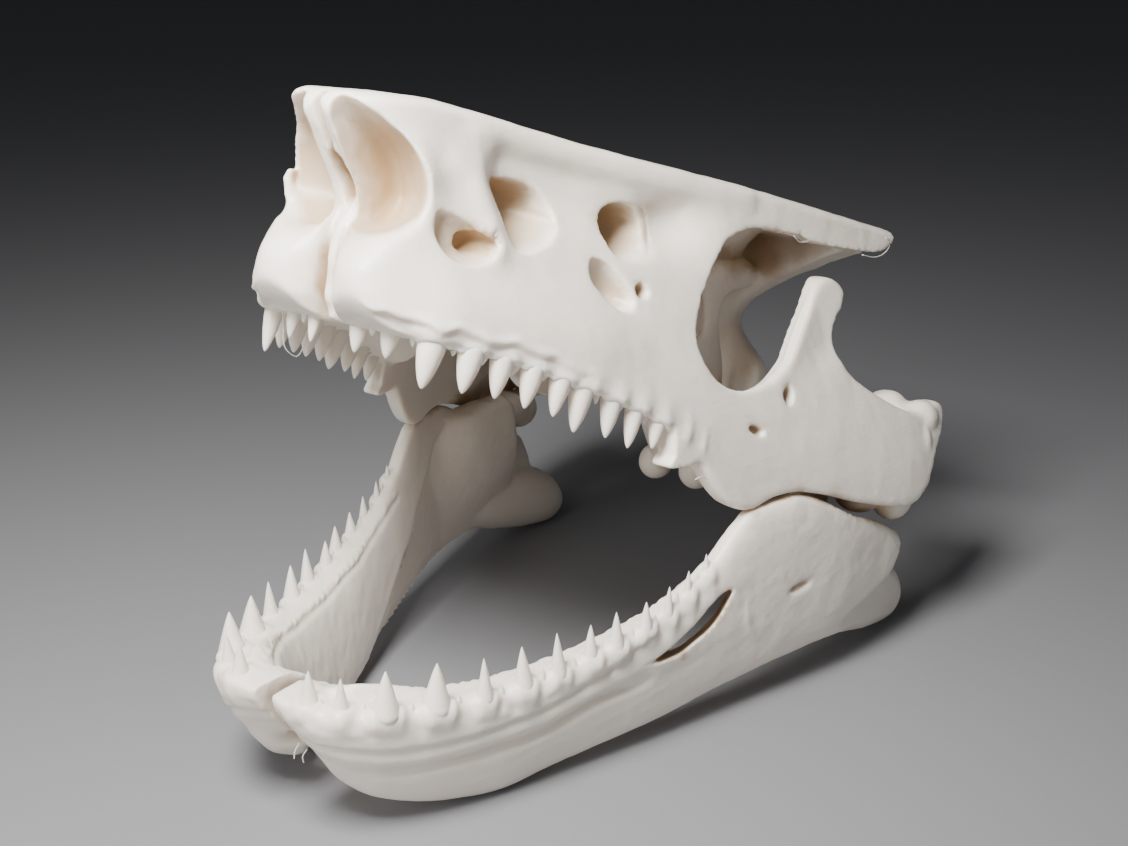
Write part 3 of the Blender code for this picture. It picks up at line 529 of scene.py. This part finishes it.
def buildSkull():
    body = frontBlock()
    parts = [rearShell(), rearPlate("rearWing", outlines["rearWing"], -5, 1.6),
             tube("column", [(0, -13, 63), (0, -12, 57), (0, -9, 50), (0, -5, 44), (0, -4, 38),
                             (0, -1, 28), (0, 4, 14), (0, 8, 2)],
                  [(29, 22), (20, 14), (15, 10), (12.5, 8), (12, 8), (14, 10), (11, 10), (7, 6)])]
    cuts = [noseCut(), roofEnd(), ball("noseSlot", (0, -128, 43.4), (1.8, 6.5, 5.8), 0.6)]
    for s in (-1, 1):
        parts += [ball("lobe", (s * 6, 9, -1.5), (4.2, 5, 4.6)),
                  ball("knob", (s * 57.5, 16.6, 22.4), (4.6, 5.6, 4.8), 0.3),
                  ball("knob", (s * 50, 13.6, 24), (5.2, 5.4, 3.8), 0.3),
                  ball("knobWeb", (s * 55, 14.6, 16), (8, 5.2, 9), 0.3),
                  ball("condyle", (s * 52.5, 3, 3), (4.6, 10, 4.6)),
                  ball("condyle", (s * 56.2, 14, 3.2), (4.5, 6.6, 5.3)),
                  prism("innerPlate", rounded(outlines["innerPlate"]), s * 16.4, s * 19.2)]
        cuts += [bowl("nostril", outlines["nostril"], 14, 11, s, (9, 0.5), 0.8, 1.0), openingBevel(s),
                 prism("plateSlit", rounded(outlines["plateSlit"]), s * 15, s * 22),
                 bowl("smallHole", outlines["smallHole"], 20, 7, s),
                 bowl("smallDish", outlines["smallDish"], 19.4, 3.2, s, (0.5, 0), 0.5),
                 bowl("faceOpening", outlines["faceOpening"], 21, 12, s, (-2.5, 0.5), 0.5),
                 bowl("eye", outlines["eye"], 27, 13, s, (-2, 0), 0.55),
                 bowl("eyeGroove", outlines["eyeGroove"], 30, 4.5, s),
                 ball("foramen", (s * 32.4, -74.2, 35.6), (4, 1.7, 1.5)),
                 ball("foramen", (s * 48.4, -34.3, 21.6), (4, 1.5, 2.0)),
                 ball("foramen", (s * 47.6, -43.5, 13.1), (3, 2.6, 0.9), -0.15)]
    print("upper skull forms")
    combine(body, parts, "UNION")
    combine(body, cuts, "DIFFERENCE")
    drips = [ball("drip", (p[0], p[1], p[2]), (p[3], p[3] * 1.3, p[3])) for p in blobs]
    return combine(body, drips, "UNION")


def sculptSkull(obj):                    # raised and sunken detail along the skin's own normals
    co = coords(obj) / mm
    x, a, u = np.abs(co[:, 0]), co[:, 1], co[:, 2]
    gum = follow(skull["gumLevel"], a)
    side = ease((x - sideHalf(a, u) + 3.5) / 2.0)
    bulge = ease((-119 - a) / 4) * ease((35 - u) / 4) * ease((x - 5.5) / 2)
    lip = hump(nearLine(a, u, [(-126.4, 36.6), (-130, 34.2), (-135, 32.6)]), 3.6) * ease((x - 5.5) / 2)
    melt(obj, np.clip(0.6 * bulge + lip, 0, 1), 60)
    rims = outlines["openingRim"] + outlines["spur"] + outlines["cheekBack"] + outlines["cheekFoot"]
    edge = hump(nearLine(a, u, rims), 1.5) * ease((x - 30) / 4)
    melt(obj, np.clip(0.7 * edge, 0, 1), 24)
    behindEye = hump(nearLine(a, u, [(-68, 44), (-66.8, 49)]), 3.6) * side
    inside = ease((31 - x) / 5) * ease((a + 48) / 8) * ease((u - 10) / 5) * ease((58 - u) / 6)
    melt(obj, np.clip(behindEye + inside, 0, 1), 60)
    co, no = coords(obj) / mm, normals(obj)
    x, a, u = np.abs(co[:, 0]), co[:, 1], co[:, 2]
    outer = side * ease((np.abs(no[:, 0]) - 0.1) / 0.3)
    move = 0.03 * waves(co, 9, 3) + 0.02 * waves(co, 3.5, 4)
    ledge = follow(skull["gumLevel"], np.maximum(a, gumLedge["front"])) + gumLedge["height"]
    ledge += 0.35 * waves(co * [1, 1, 0], 6, 6) + 0.3 * waves(co * [1, 1, 0], 12, 7)
    front = ease((-82 - a) / 20)
    move -= gumLedge["step"] * ease((ledge - u) / 0.8) * outer * front
    move += gumLedge["bead"] * hump(u - ledge - 0.6, 0.7) * outer * front
    for across, along, tip, radius in toothSpots(True):
        flat = np.hypot(x - across, a - along)
        level = float(follow(skull["gumLevel"], along))
        move += 0.35 * hump(flat - radius - 0.45, 0.7) * hump(u - level - 0.2, 1.3)
        move += (0.2 + 0.13 * radius) * hump(a - along, radius * 1.1) * hump(u - level - 1.6, 2.4) * outer
    for height, width, *line in carvings:
        move += height * hump(nearLine(a, u, line), width) * outer
    strut = [(-117, 50.5), (-113.8, 48.4), (-111.5, 44.7), (-109.8, 41.5), (-109.3, 37)]
    move += 1.5 * hump(nearLine(a, u, strut), 3.2) * outer * ease((56 - u) / 12)
    p, q = a - scoop["middle"][0], u - scoop["middle"][1]
    p, q = p + scoop["rise"] * q, q - scoop["rise"] * p
    move -= scoop["depth"] * hump(p, scoop["size"][0]) * hump(q, scoop["size"][1]) * outer
    setCoords(obj, (co + no * move[:, None]) * mm)
    melt(obj, 0.7 * hump(u - gum - 1.5, 2.6) * ease((-50 - a) / 4), 2)


def jawLine(count):                      # places on the centre line of a half, and the way outwards
    places = np.linspace(0, len(jaw["line"]) - 1, count)
    xs, ys = [follow([(k, p[c]) for k, p in enumerate(jaw["line"])], places) for c in range(2)]
    dx, dy = np.gradient(xs), np.gradient(ys)
    size = np.hypot(dx, dy)
    return xs, ys, dy / size, -dx / size


def sculptJaw(obj, s):
    co = coords(obj) / mm
    rear = ease((co[:, 1] + 46) / 8)
    chin = ease((-121 - co[:, 1]) / 4) * ease((22 - co[:, 2]) / 5)
    melt(obj, np.clip(0.6 * rear + 0.7 * chin, 0, 1), 20)
    co, no = coords(obj) / mm, normals(obj)
    x, y, z = co[:, 0] * s, co[:, 1], co[:, 2]
    lx, ly, ox, oy = jawLine(400)
    near = ((x[:, None] - lx[None, ::4]) ** 2 + (y[:, None] - ly[None, ::4]) ** 2).argmin(1) * 4
    outward = no[:, 0] * s * ox[near] + no[:, 1] * oy[near]
    outer = ease((outward - 0.1) / 0.4)
    inner = ease((-outward - 0.1) / 0.4)
    rim = follow(jaw["rim"], y)
    dental = ease((-46 - y) / 8)
    move = 0.03 * waves(co, 9, 13 + s) + 0.02 * waves(co, 3.6, 15 + s)
    move += 0.15 * waves(co, 3.4, 30 + s) * hump(z - rim + 3, 2.0) * outer * dental
    for across, along, tip, radius in toothSpots(False):
        flat = np.hypot(x - across, y - along)
        level = float(follow(jaw["rim"], along)) - 0.8
        move += (0.25 + 0.12 * radius) * hump(flat - radius * 1.1 - 0.4, 0.8) * hump(z - level, 1.8)
        move += (0.05 + 0.16 * radius) * hump(y - along, radius * 1.1) * hump(z - level + 2.6, 2.0) * outer
        cover = hump(np.maximum(flat - 1.1 * radius + 0.3, 0), 1.1)    # a cup that the tooth stands in
        move += (0.4 + 0.4 * radius) * cover * hump(z - level + 0.6, 2.0) * outer
    lamina = [(-128, 29.5), (-118, 28.4), (-104, 25.4), (-90, 24.8), (-74, 26.2), (-60, 30.3), (-52, 33)]
    beads = np.clip(0.6 + waves(co, 2.2, 40 + s), 0, 1.4)
    move -= 0.4 * hump(nearLine(y, z, lamina), 0.6) * inner
    move += 0.22 * beads * hump(nearLine(y, z - 1.1, lamina), 0.7) * inner
    move -= 0.5 * hump(nearLine(y, z, jaw["crease"]), 0.55) * inner
    move *= ease((z - 0.3) / 2.0)
    setCoords(obj, (co + no * move[:, None]) * mm)
    melt(obj, 0.8 * hump(z - rim + 2.4, 2.6) * dental * (0.3 + 0.7 * outer), 8)


def skinOf(body, turns, most, sculpt, *more):   # even fine skin, carved, then no more faces than needed
    applyModifier(body, "REMESH", mode="VOXEL", voxel_size=fine * mm, use_smooth_shade=True)
    applyModifier(body, "SMOOTH", factor=0.5, iterations=turns)
    keepLargest(body)
    sculpt(body, *more)
    count = sum(len(p.vertices) - 2 for p in body.data.polygons)
    if count > most:
        applyModifier(body, "DECIMATE", ratio=most / count)
    print(body.name, count, "faces before,", len(body.data.polygons), "after")
    return body


def jawProfile(off, z, y, outer, inner):   # bands along the outer side, an overlap along the inner
    groove, ledge = float(follow(jaw["grooveLevel"], y)), float(follow(jaw["ledge"], y))
    teethed = float(ease((-50 - y) / 14))
    grooved = float(ease((y + 127) / 12) * ease((-64 - y) / 8))
    lapped = float(ease((y + 84) / 6) * ease((-10 - y) / 20))
    band = jaw["band"] * ease((z - ledge) / 0.6 + 0.5)
    roll = jaw["roll"] * np.sin(math.pi * np.clip((z - groove) / (ledge - groove), 0, 1))
    dent = jaw["grooveDeep"] * hump(z - groove + 0.5, 1.2) * grooved
    above = float(follow(jaw["crease"], y))
    lap = jaw["overlap"] * (1 - ease((z - above) / 0.6 + 0.5)) * lapped
    return np.where(off > 0, off + (band + roll) * teethed * np.minimum(off / outer * 2, 1) - dent,
                    off + lap * np.minimum(-off / inner * 2, 1))


def jawHalf(name, s):
    turn = np.linspace(0, math.tau, 160, endpoint=False)
    u = 0.5 + 0.5 * np.sin(turn)
    across = np.sign(np.cos(turn)) * np.abs(np.cos(turn)) ** 0.6
    rings = []
    for x, y, ox, oy in zip(*jawLine(260)):
        outer, inner = float(follow(jaw["outer"], y)), float(follow(jaw["inner"], y))
        foot = float(follow(jaw["foot"], y))
        off = across * np.where(across > 0, outer, inner)
        low, high = float(follow(jaw["innerRim"], y)), float(follow(jaw["rim"], y))
        fall = jaw["gumFall"] * ease(off / outer) * float(ease((-46 - y) / 8))
        z = foot + (low + (high - low) * ease((off + jaw["wall"]) / 2.2) - fall - foot) * u
        off = jawProfile(off, z, y, outer, inner) - float(follow(jaw["lean"], y)) * (1 - u)
        rings.append(list(zip(s * (x + ox * off), y + oy * off, z)))
    half = loft(name, rings)
    process = tube("process", [(s * 52.6, -20, 19), (s * 52.3, -6, 15), (s * 52.6, 9, 11.4),
                               (s * 52.6, 17, 8.5), (s * 52.4, 23, 5.8), (s * 52.2, 26.6, 4.6)],
                   [(2, 4), (4, 8), (4.8, 9), (4.8, 8), (4.2, 6), (2.6, 3.4)])
    edge, corner = np.array(rounded(outlines["jawFlange"])), np.array([-3.0, 41.0])
    rings = []
    for t in np.linspace(0, 1, 9):       # thickest in its upper rear corner
        ring = corner + (edge - corner) * (1 - 0.72 * t)
        rings.append([(s * (50 - 5.8 * math.sin(t * math.pi / 2)), *p) for p in ring])
    combine(half, [process, loft("flange", rings)], "UNION")
    slot = np.array(rounded(outlines["jawSlot"]))
    mid = slot.mean(0)
    view = np.array([-0.564, 0.76, -0.324])    # the slot runs inwards, back and down
    rings = []
    for reach, grow in ((-8, 1.08), (0, 1.08), (7, 1.0), (16, 0.9)):
        ring = mid + (slot - mid) * grow
        step = view * reach
        rings.append([(s * (46 + 0.3 * (a + 57) + step[0]), a + step[1], up + step[2]) for a, up in ring])
    middle = [(-far, -far), (far, -far), (far, far), (-far, far)]
    ground = [(-far, -30), (far, -30), (far, 0), (-far, 0)]
    cuts = [loft("slot", rings), ball("slit", (s * 56.5, -27, 26.6), (5, 4.4, 0.9), 0.12, -s * 0.25),
            ball("seatDish", (s * 52, -4, 37.6), (5.0, 13, 5.4), -0.44),
            ball("seatDish", (s * 53, 14, 32.6), (5.0, 6.5, 5.4), -0.3),
            prism("back", outlines["jawBack"], s * jaw["backSide"], s * 90),
            prism("chinGap", middle, -s * 30, s * jaw["chinGap"]),
            prism("ground", ground, -90, 90)]
    return combine(half, cuts, "DIFFERENCE")


skins = {                                # how often each skin is smoothed, and how many faces it keeps
    "skull": (5, 192000),
    "jaw": (4, 110000),
}
skullSkin = skinOf(buildSkull(), *skins["skull"], sculptSkull)
setCoords(skullSkin, toPose(coords(skullSkin)))
print("lower jaw halves")
jawSkins = []
for name, s in (("mandibleLeftSkin", 1), ("mandibleRightSkin", -1)):
    skin = skinOf(jawHalf(name, s), *skins["jaw"], sculptJaw, s)
    setCoords(skin, coords(skin) + [0, pose["middle"] * mm, 0])
    jawSkins.append(skin)


def toothMesh(name, power, bend, sides=28):   # one tooth of unit length and neck radius, pointing up
    circle = [(math.cos(k * math.tau / sides), math.sin(k * math.tau / sides)) for k in range(sides)]
    rings = [[(0.4 * x, 0.4 * y, -0.3) for x, y in circle]]    # narrow root, hidden in the gum
    for t in (0.0, 0.08, 0.18, 0.3, 0.42, 0.54, 0.65, 0.75, 0.83, 0.89, 0.94, 0.97, 0.988):
        r = 1.1 * (1 - t**power) ** bend
        rings.append([(r * x, r * y, t) for x, y in circle])
    verts = [(x / mm, y / mm, z / mm) for ring in rings for x, y, z in ring] + [(0, 0, 1 / mm)]
    faces = [tuple(range(sides - 1, -1, -1))] + sideFaces(len(rings), sides)
    base = (len(rings) - 1) * sides
    faces += [(base + k, base + (k + 1) % sides, len(verts) - 1) for k in range(sides)]
    obj = addMesh(name, verts, faces)
    obj.data.shade_smooth()
    return obj


def rowPoints(upper, s, draw):           # root, way and size of each tooth, and the buds between
    row = toothSpots(upper)
    out = []
    for i, (across, along, tip, radius) in enumerate(row):
        if upper and s < 0 and i < len(teeth["farSize"]):
            radius *= teeth["farSize"][i]
        spots = [(across, along, tip, radius, 1 + draw.uniform(-teeth["spread"], teeth["spread"]))]
        if i + 1 < len(row):
            t = draw.uniform(0.4, 0.6)
            spots.append((across + (row[i + 1][0] - across) * t - 0.3, along + (row[i + 1][1] - along) * t,
                          2.3 + draw.uniform(-0.4, 0.5), draw.uniform(0.7, 1.0), None))
        for x, y, end, r, size in spots:
            lean = Vector((draw.uniform(-0.06, 0.06), draw.uniform(-0.06, 0.06), 0))
            if upper:
                root = float(follow(skull["gumLevel"], y)) + teeth["sink"]
                reach = (root - end) * size if size else end
                spot = toPose(np.array([[s * x * mm, y * mm, root * mm]]))[0]
                way = Vector((0, -math.sin(pose["gape"]), -math.cos(pose["gape"])))
            else:
                root = float(follow(jaw["rim"], y)) - teeth["sink"]
                reach = (end - root) * size * (0.93 if s < 0 else 1) if size else end
                spot = np.array([s * x, y + pose["middle"], root]) * mm
                way = Vector((0, 0, 1))
            out.append((spot, (way + lean * (0.6 if size else 2)).normalized(), reach, r))
    return out


def toothRow(name, rows, shape, material):   # a Geometry Nodes row: one tooth on each marked point
    mesh = bpy.data.meshes.new(name)
    mesh.from_pydata([tuple(r[0]) for r in rows], [], [])
    sizes = mesh.attributes.new("size", "FLOAT_VECTOR", "POINT")
    turns = mesh.attributes.new("turn", "FLOAT_VECTOR", "POINT")
    for i, (spot, way, length, radius) in enumerate(rows):
        sizes.data[i].vector = (radius * mm, radius * mm, length * mm)
        turns.data[i].vector = way.to_track_quat("Z", "Y").to_euler()
    obj = bpy.data.objects.new(name, mesh)
    bpy.context.collection.objects.link(obj)
    tree = bpy.data.node_groups.new(name + "Nodes", "GeometryNodeTree")
    tree.interface.new_socket("Geometry", in_out="INPUT", socket_type="NodeSocketGeometry")
    tree.interface.new_socket("Geometry", in_out="OUTPUT", socket_type="NodeSocketGeometry")
    grow = tree.interface.new_socket("Tooth scale", in_out="INPUT", socket_type="NodeSocketFloat")
    n = tree.nodes
    start, end = n.new("NodeGroupInput"), n.new("NodeGroupOutput")
    tooth, place = n.new("GeometryNodeObjectInfo"), n.new("GeometryNodeInstanceOnPoints")
    size, turn = n.new("GeometryNodeInputNamedAttribute"), n.new("GeometryNodeInputNamedAttribute")
    size.data_type = turn.data_type = "FLOAT_VECTOR"
    size.inputs["Name"].default_value = "size"
    turn.inputs["Name"].default_value = "turn"
    tooth.inputs["Object"].default_value = shape
    scale = n.new("ShaderNodeVectorMath")
    scale.operation = "SCALE"
    real, paint = n.new("GeometryNodeRealizeInstances"), n.new("GeometryNodeSetMaterial")
    paint.inputs["Material"].default_value = material
    link = tree.links.new
    link(start.outputs["Geometry"], place.inputs["Points"])
    link(tooth.outputs["Geometry"], place.inputs["Instance"])
    link(size.outputs["Attribute"], scale.inputs[0])
    link(start.outputs["Tooth scale"], scale.inputs["Scale"])
    link(scale.outputs["Vector"], place.inputs["Scale"])
    link(turn.outputs["Attribute"], place.inputs["Rotation"])
    link(place.outputs["Instances"], real.inputs["Geometry"])
    link(real.outputs["Geometry"], paint.inputs["Geometry"])
    link(paint.outputs["Geometry"], end.inputs["Geometry"])
    mod = obj.modifiers.new("Teeth", "NODES")
    mod.node_group = tree
    mod[grow.identifier] = 1.0
    bpy.context.view_layer.update()
    done = bpy.data.meshes.new_from_object(obj.evaluated_get(bpy.context.evaluated_depsgraph_get()))
    obj.modifiers.clear()
    obj.data = done
    return obj


resin = {
    "ivory": (0.875, 0.80, 0.71),
    # painted shade: the colour that hollows and recesses are mixed towards
    "shadeTone": (0.50, 0.355, 0.21),
    "sunk": 0.85,                        # how strongly painted shade darkens the snout's hollows and nostrils
    "roughness": 0.4,
    "glow": 0.4,                         # share of light that wanders inside
    "glowTone": (1.0, 0.7, 0.42),
    "wander": 0.0022,                    # how far it wanders, metres
    "mottle": 900,
    "strokes": (900, 120, 1300),         # long fine strokes, left by wiping
    "strokeTurn": (0.5, 0, 0),
    "bump": 0.22,
    "bumpDepth": 0.0002,
}


def resinMaterial(name):
    mat = bpy.data.materials.new(name)
    mat.use_nodes = True
    n, link = mat.node_tree.nodes, mat.node_tree.links.new
    shade = n["Principled BSDF"]
    place = n.new("ShaderNodeTexCoord")
    # painted shade: the ivory is mixed towards the shade tone by each skin's painted shade attribute
    deep = n.new("ShaderNodeAttribute")
    deep.attribute_name = "deep"
    tint = n.new("ShaderNodeMix")
    tint.data_type = "RGBA"
    tint.inputs["A"].default_value = (*resin["ivory"], 1)
    tint.inputs["B"].default_value = (*resin["shadeTone"], 1)
    link(deep.outputs["Fac"], tint.inputs["Factor"])
    link(tint.outputs["Result"], shade.inputs["Base Color"])
    mottle = n.new("ShaderNodeTexNoise")
    mottle.inputs["Scale"].default_value = resin["mottle"]
    mottle.inputs["Detail"].default_value = 4
    link(place.outputs["Object"], mottle.inputs["Vector"])
    grain = n.new("ShaderNodeMapping")
    grain.inputs["Rotation"].default_value = resin["strokeTurn"]
    grain.inputs["Scale"].default_value = resin["strokes"]
    strokes = n.new("ShaderNodeTexNoise")
    strokes.inputs["Scale"].default_value = 1
    strokes.inputs["Detail"].default_value = 3
    link(place.outputs["Object"], grain.inputs["Vector"])
    link(grain.outputs["Vector"], strokes.inputs["Vector"])
    both = n.new("ShaderNodeMath")
    both.operation = "ADD"
    link(mottle.outputs["Fac"], both.inputs[0])
    link(strokes.outputs["Fac"], both.inputs[1])
    bump = n.new("ShaderNodeBump")
    bump.inputs["Strength"].default_value = resin["bump"]
    bump.inputs["Distance"].default_value = resin["bumpDepth"]
    link(both.outputs["Value"], bump.inputs["Height"])
    link(bump.outputs["Normal"], shade.inputs["Normal"])
    shade.inputs["Roughness"].default_value = resin["roughness"]
    shade.inputs["Subsurface Weight"].default_value = resin["glow"]
    shade.inputs["Subsurface Radius"].default_value = resin["glowTone"]
    shade.inputs["Subsurface Scale"].default_value = resin["wander"]
    return mat


ivory = resinMaterial("ivoryResin")
bluntTooth = toothMesh("bluntTooth", *teeth["upperShape"])
sharpTooth = toothMesh("sharpTooth", *teeth["lowerShape"])
draw = random.Random(teeth["seed"])
upperPoints = rowPoints(True, -1, draw) + rowPoints(True, 1, draw)
toothRows = [toothRow("upperTeeth", upperPoints, bluntTooth, ivory),
             toothRow("lowerTeethLeft", rowPoints(False, 1, draw), sharpTooth, ivory),
             toothRow("lowerTeethRight", rowPoints(False, -1, draw), sharpTooth, ivory)]
bpy.data.objects.remove(bluntTooth, do_unlink=True)
bpy.data.objects.remove(sharpTooth, do_unlink=True)
print("teeth set")


def underSide(obj):                      # how deep each place lies behind the snout's outer side, 0 to 1, as a mask of painted shade for the snout's hollows and nostrils
    x, y, z = (coords(obj) / mm).T
    y, z = y - pose["middle"], z - pose["jointHeight"]
    c, s = math.cos(pose["gape"]), math.sin(pose["gape"])
    a, u = y * c - z * s, y * s + z * c
    under = sideHalf(a, u) - np.abs(x)
    # painted shade: darker where a place lies behind the snout's side or inside a nostril
    sunk = ease((under - 1) / 8) * ease((np.abs(x) - 1.5) / 3) * ease((-60 - a) / 6)
    nostril = ease((a - follow(nose["bar"], u) - 0.6) / 2.5) * ease((-116 - a) / 3)
    nostril *= ease((under - 0.3) / 1.5) * ease((np.abs(x) - 2.6) / 1.2)
    return np.maximum(sunk, nostril) * ease((u - 30) / 6) * ease((56 - u) / 4)


hollow = {                               # how the painted shade of the hollows is measured
    "reach": 0.022,                      # metres
    "rays": 24,
    "places": 9000,                      # on each skin
    "from": 0.25,                        # painted shade starts where this share is closed in
    "span": 0.6,
    "seed": 5,
}


def hollowShade(pieces, reach, rays):    # how closed in each place is, kept on the mesh as painted shade that darkens the colour
    verts, faces = [], []
    for obj in pieces:
        start = len(verts)
        verts += coords(obj).tolist()
        faces += [tuple(start + v for v in p.vertices) for p in obj.data.polygons]
    tree = BVHTree.FromPolygons(verts, faces)
    draw = np.random.default_rng(hollow["seed"])
    way = draw.normal(size=(rays, 3))
    way /= np.linalg.norm(way, axis=1)[:, None]
    for obj in pieces:
        co, no = coords(obj), normals(obj)
        pick = draw.permutation(len(co))[:hollow["places"]]
        kd = KDTree(len(pick))
        value = np.zeros(len(pick))
        for j, i in enumerate(pick):
            kd.insert(co[i], j)
            start = Vector(co[i] + no[i] * 0.0004)
            face = way * np.sign(way @ no[i])[:, None]
            lean = face @ no[i]
            hits = 0.0
            for k in range(rays):
                if tree.ray_cast(start, Vector(face[k]), reach)[0] is not None:
                    hits += lean[k]
            value[j] = hits / lean.sum()
        kd.balance()
        deep = np.zeros(len(co))
        for i in range(len(co)):
            near = kd.find_n(co[i], 5)
            w = np.array([1 / (d + 0.0003) for _, _, d in near])
            deep[i] = float((w * value[[j for _, j, _ in near]]).sum() / w.sum())
        mark = obj.data.attributes.new("deep", "FLOAT", "POINT")
        deep = np.clip((deep - hollow["from"]) / hollow["span"], 0, 1)
        if obj == pieces[0]:
            # painted shade in the snout's hollows and nostrils, added to the measured one
            deep = np.maximum(deep, resin["sunk"] * underSide(obj))
        mark.data.foreach_set("value", deep)


allSkins = [skullSkin] + jawSkins
hollowShade(allSkins, hollow["reach"], hollow["rays"])
print("hollows shaded")
for skin in allSkins:
    skin.data.materials.clear()
    skin.data.materials.append(ivory)
    skin.data.shade_smooth()

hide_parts("snout", "skull_roof", "braincase", "cheek_left", "cheek_right")
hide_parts("mandible_left")
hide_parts("mandible_right")
for piece in allSkins + toothRows:
    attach(piece, "root")

view = {                                 # where the photo was taken from, mm and degrees
    "spot": (190.5, -244.9, 166.5),
    "yaw": 36.6,
    "pitch": 18.91,
    "lens": 47.87,
}
camera = newObject("camera", bpy.data.cameras.new("camera"))
camera.data.sensor_width = 36
camera.data.lens = view["lens"]
camera.data.clip_start = 0.01
camera.location = Vector(view["spot"]) * mm
yaw, pitch = math.radians(view["yaw"]), math.radians(view["pitch"])
ahead = Vector((-math.sin(yaw) * math.cos(pitch), math.cos(yaw) * math.cos(pitch), -math.sin(pitch)))
camera.rotation_euler = ahead.to_track_quat("-Z", "Y").to_euler()
bpy.context.scene.camera = camera

threadRadius = 0.11                      # mm
threads = (                              # fine strings left by the printing: on the skull or not, places
    (True, (46, -8.4, 56.2), (46, -3, 56.6), (46, 2.1, 58.0), (46, 5.1, 60.4), (46, 4.9, 61.8),
     (46, 2.4, 62.1)),
    (True, (44, -39.1, 54.6), (44, -35.8, 53.9), (44, -31.8, 54.9)),
    (True, (45, -54.5, 2.2), (45.6, -57, 1.8), (45.8, -59.6, 2.2), (45.4, -61.4, 1.4)),
    (True, (-16, -121, 18.4), (-16, -120, 15.6), (-16, -118.6, 11.4), (-16, -117.2, 10.2),
     (-16, -114.8, 9.5), (-16.5, -112.6, 12.2)),
    (False, (6, -130, 20.5), (5.6, -131, 18.8), (5.6, -131.2, 17.6)),
    (False, (7.5, -129.6, 19.5), (7, -130.4, 18), (7, -130.2, 16.8)),
)
strings = []
for onSkull, *spots in threads:
    obj = tube("thread", spots, [(threadRadius, threadRadius)] * len(spots), 8, 6)
    setCoords(obj, toPose(coords(obj)) if onSkull else coords(obj) + [0, pose["middle"] * mm, 0])
    strings.append(obj)
bm = bmesh.new()
for obj in strings:
    bm.from_mesh(obj.data)
threadSet = newObject("resinThreads", bpy.data.meshes.new("resinThreads"))
bm.to_mesh(threadSet.data)
bm.free()
for obj in strings:
    bpy.data.objects.remove(obj, do_unlink=True)
threadSet.data.materials.append(ivory)
threadSet.data.shade_smooth()
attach(threadSet, "root")
print("threads set")

studio = {                               # soft lamps: place, watts, size in metres, colour
    "key": ((0.05, -0.19, 0.29), 2.7, 0.1, (1.0, 0.99, 0.97)),
    "front": ((0.0, -0.55, 0.26), 1.6, 0.25, (1.0, 0.985, 0.96)),
    "side": ((0.6, -0.3, 0.35), 0.5, 0.3, (0.95, 0.96, 1.0)),
}
lampAim = 0.06                           # height that the lamps point at, metres
room = {
    "air": 0.05,                         # strength of the light from all round
    "airTone": (0.9, 0.93, 1.0, 1),
    "floorTone": (0.22, 0.22, 0.23, 1),
    "floorRough": 0.7,
    "floorLevel": -0.3,                  # just under the jaws, mm
    "reach": 3000,
}
for name, (spot, watts, size, tone) in studio.items():
    lamp = newObject(name, bpy.data.lights.new(name, "AREA"))
    lamp.data.energy, lamp.data.size, lamp.data.color = watts, size, tone
    lamp.location = spot
    lamp.rotation_euler = (Vector((0, 0, lampAim)) - Vector(spot)).to_track_quat("-Z", "Y").to_euler()
world = bpy.data.worlds.new("studioAir")
bpy.context.scene.world = world
world.use_nodes = True
world.node_tree.nodes["Background"].inputs["Color"].default_value = room["airTone"]
world.node_tree.nodes["Background"].inputs["Strength"].default_value = room["air"]

reach, level = room["reach"], room["floorLevel"]
corners = [(-reach, -reach, level), (reach, -reach, level), (reach, reach, level), (-reach, reach, level)]
floorSheet = addMesh("floorSheet", corners, [(0, 1, 2, 3)])
pale = bpy.data.materials.new("paleFloor")
pale.use_nodes = True
pale.node_tree.nodes["Principled BSDF"].inputs["Base Color"].default_value = room["floorTone"]
pale.node_tree.nodes["Principled BSDF"].inputs["Roughness"].default_value = room["floorRough"]
floorSheet.data.materials.append(pale)
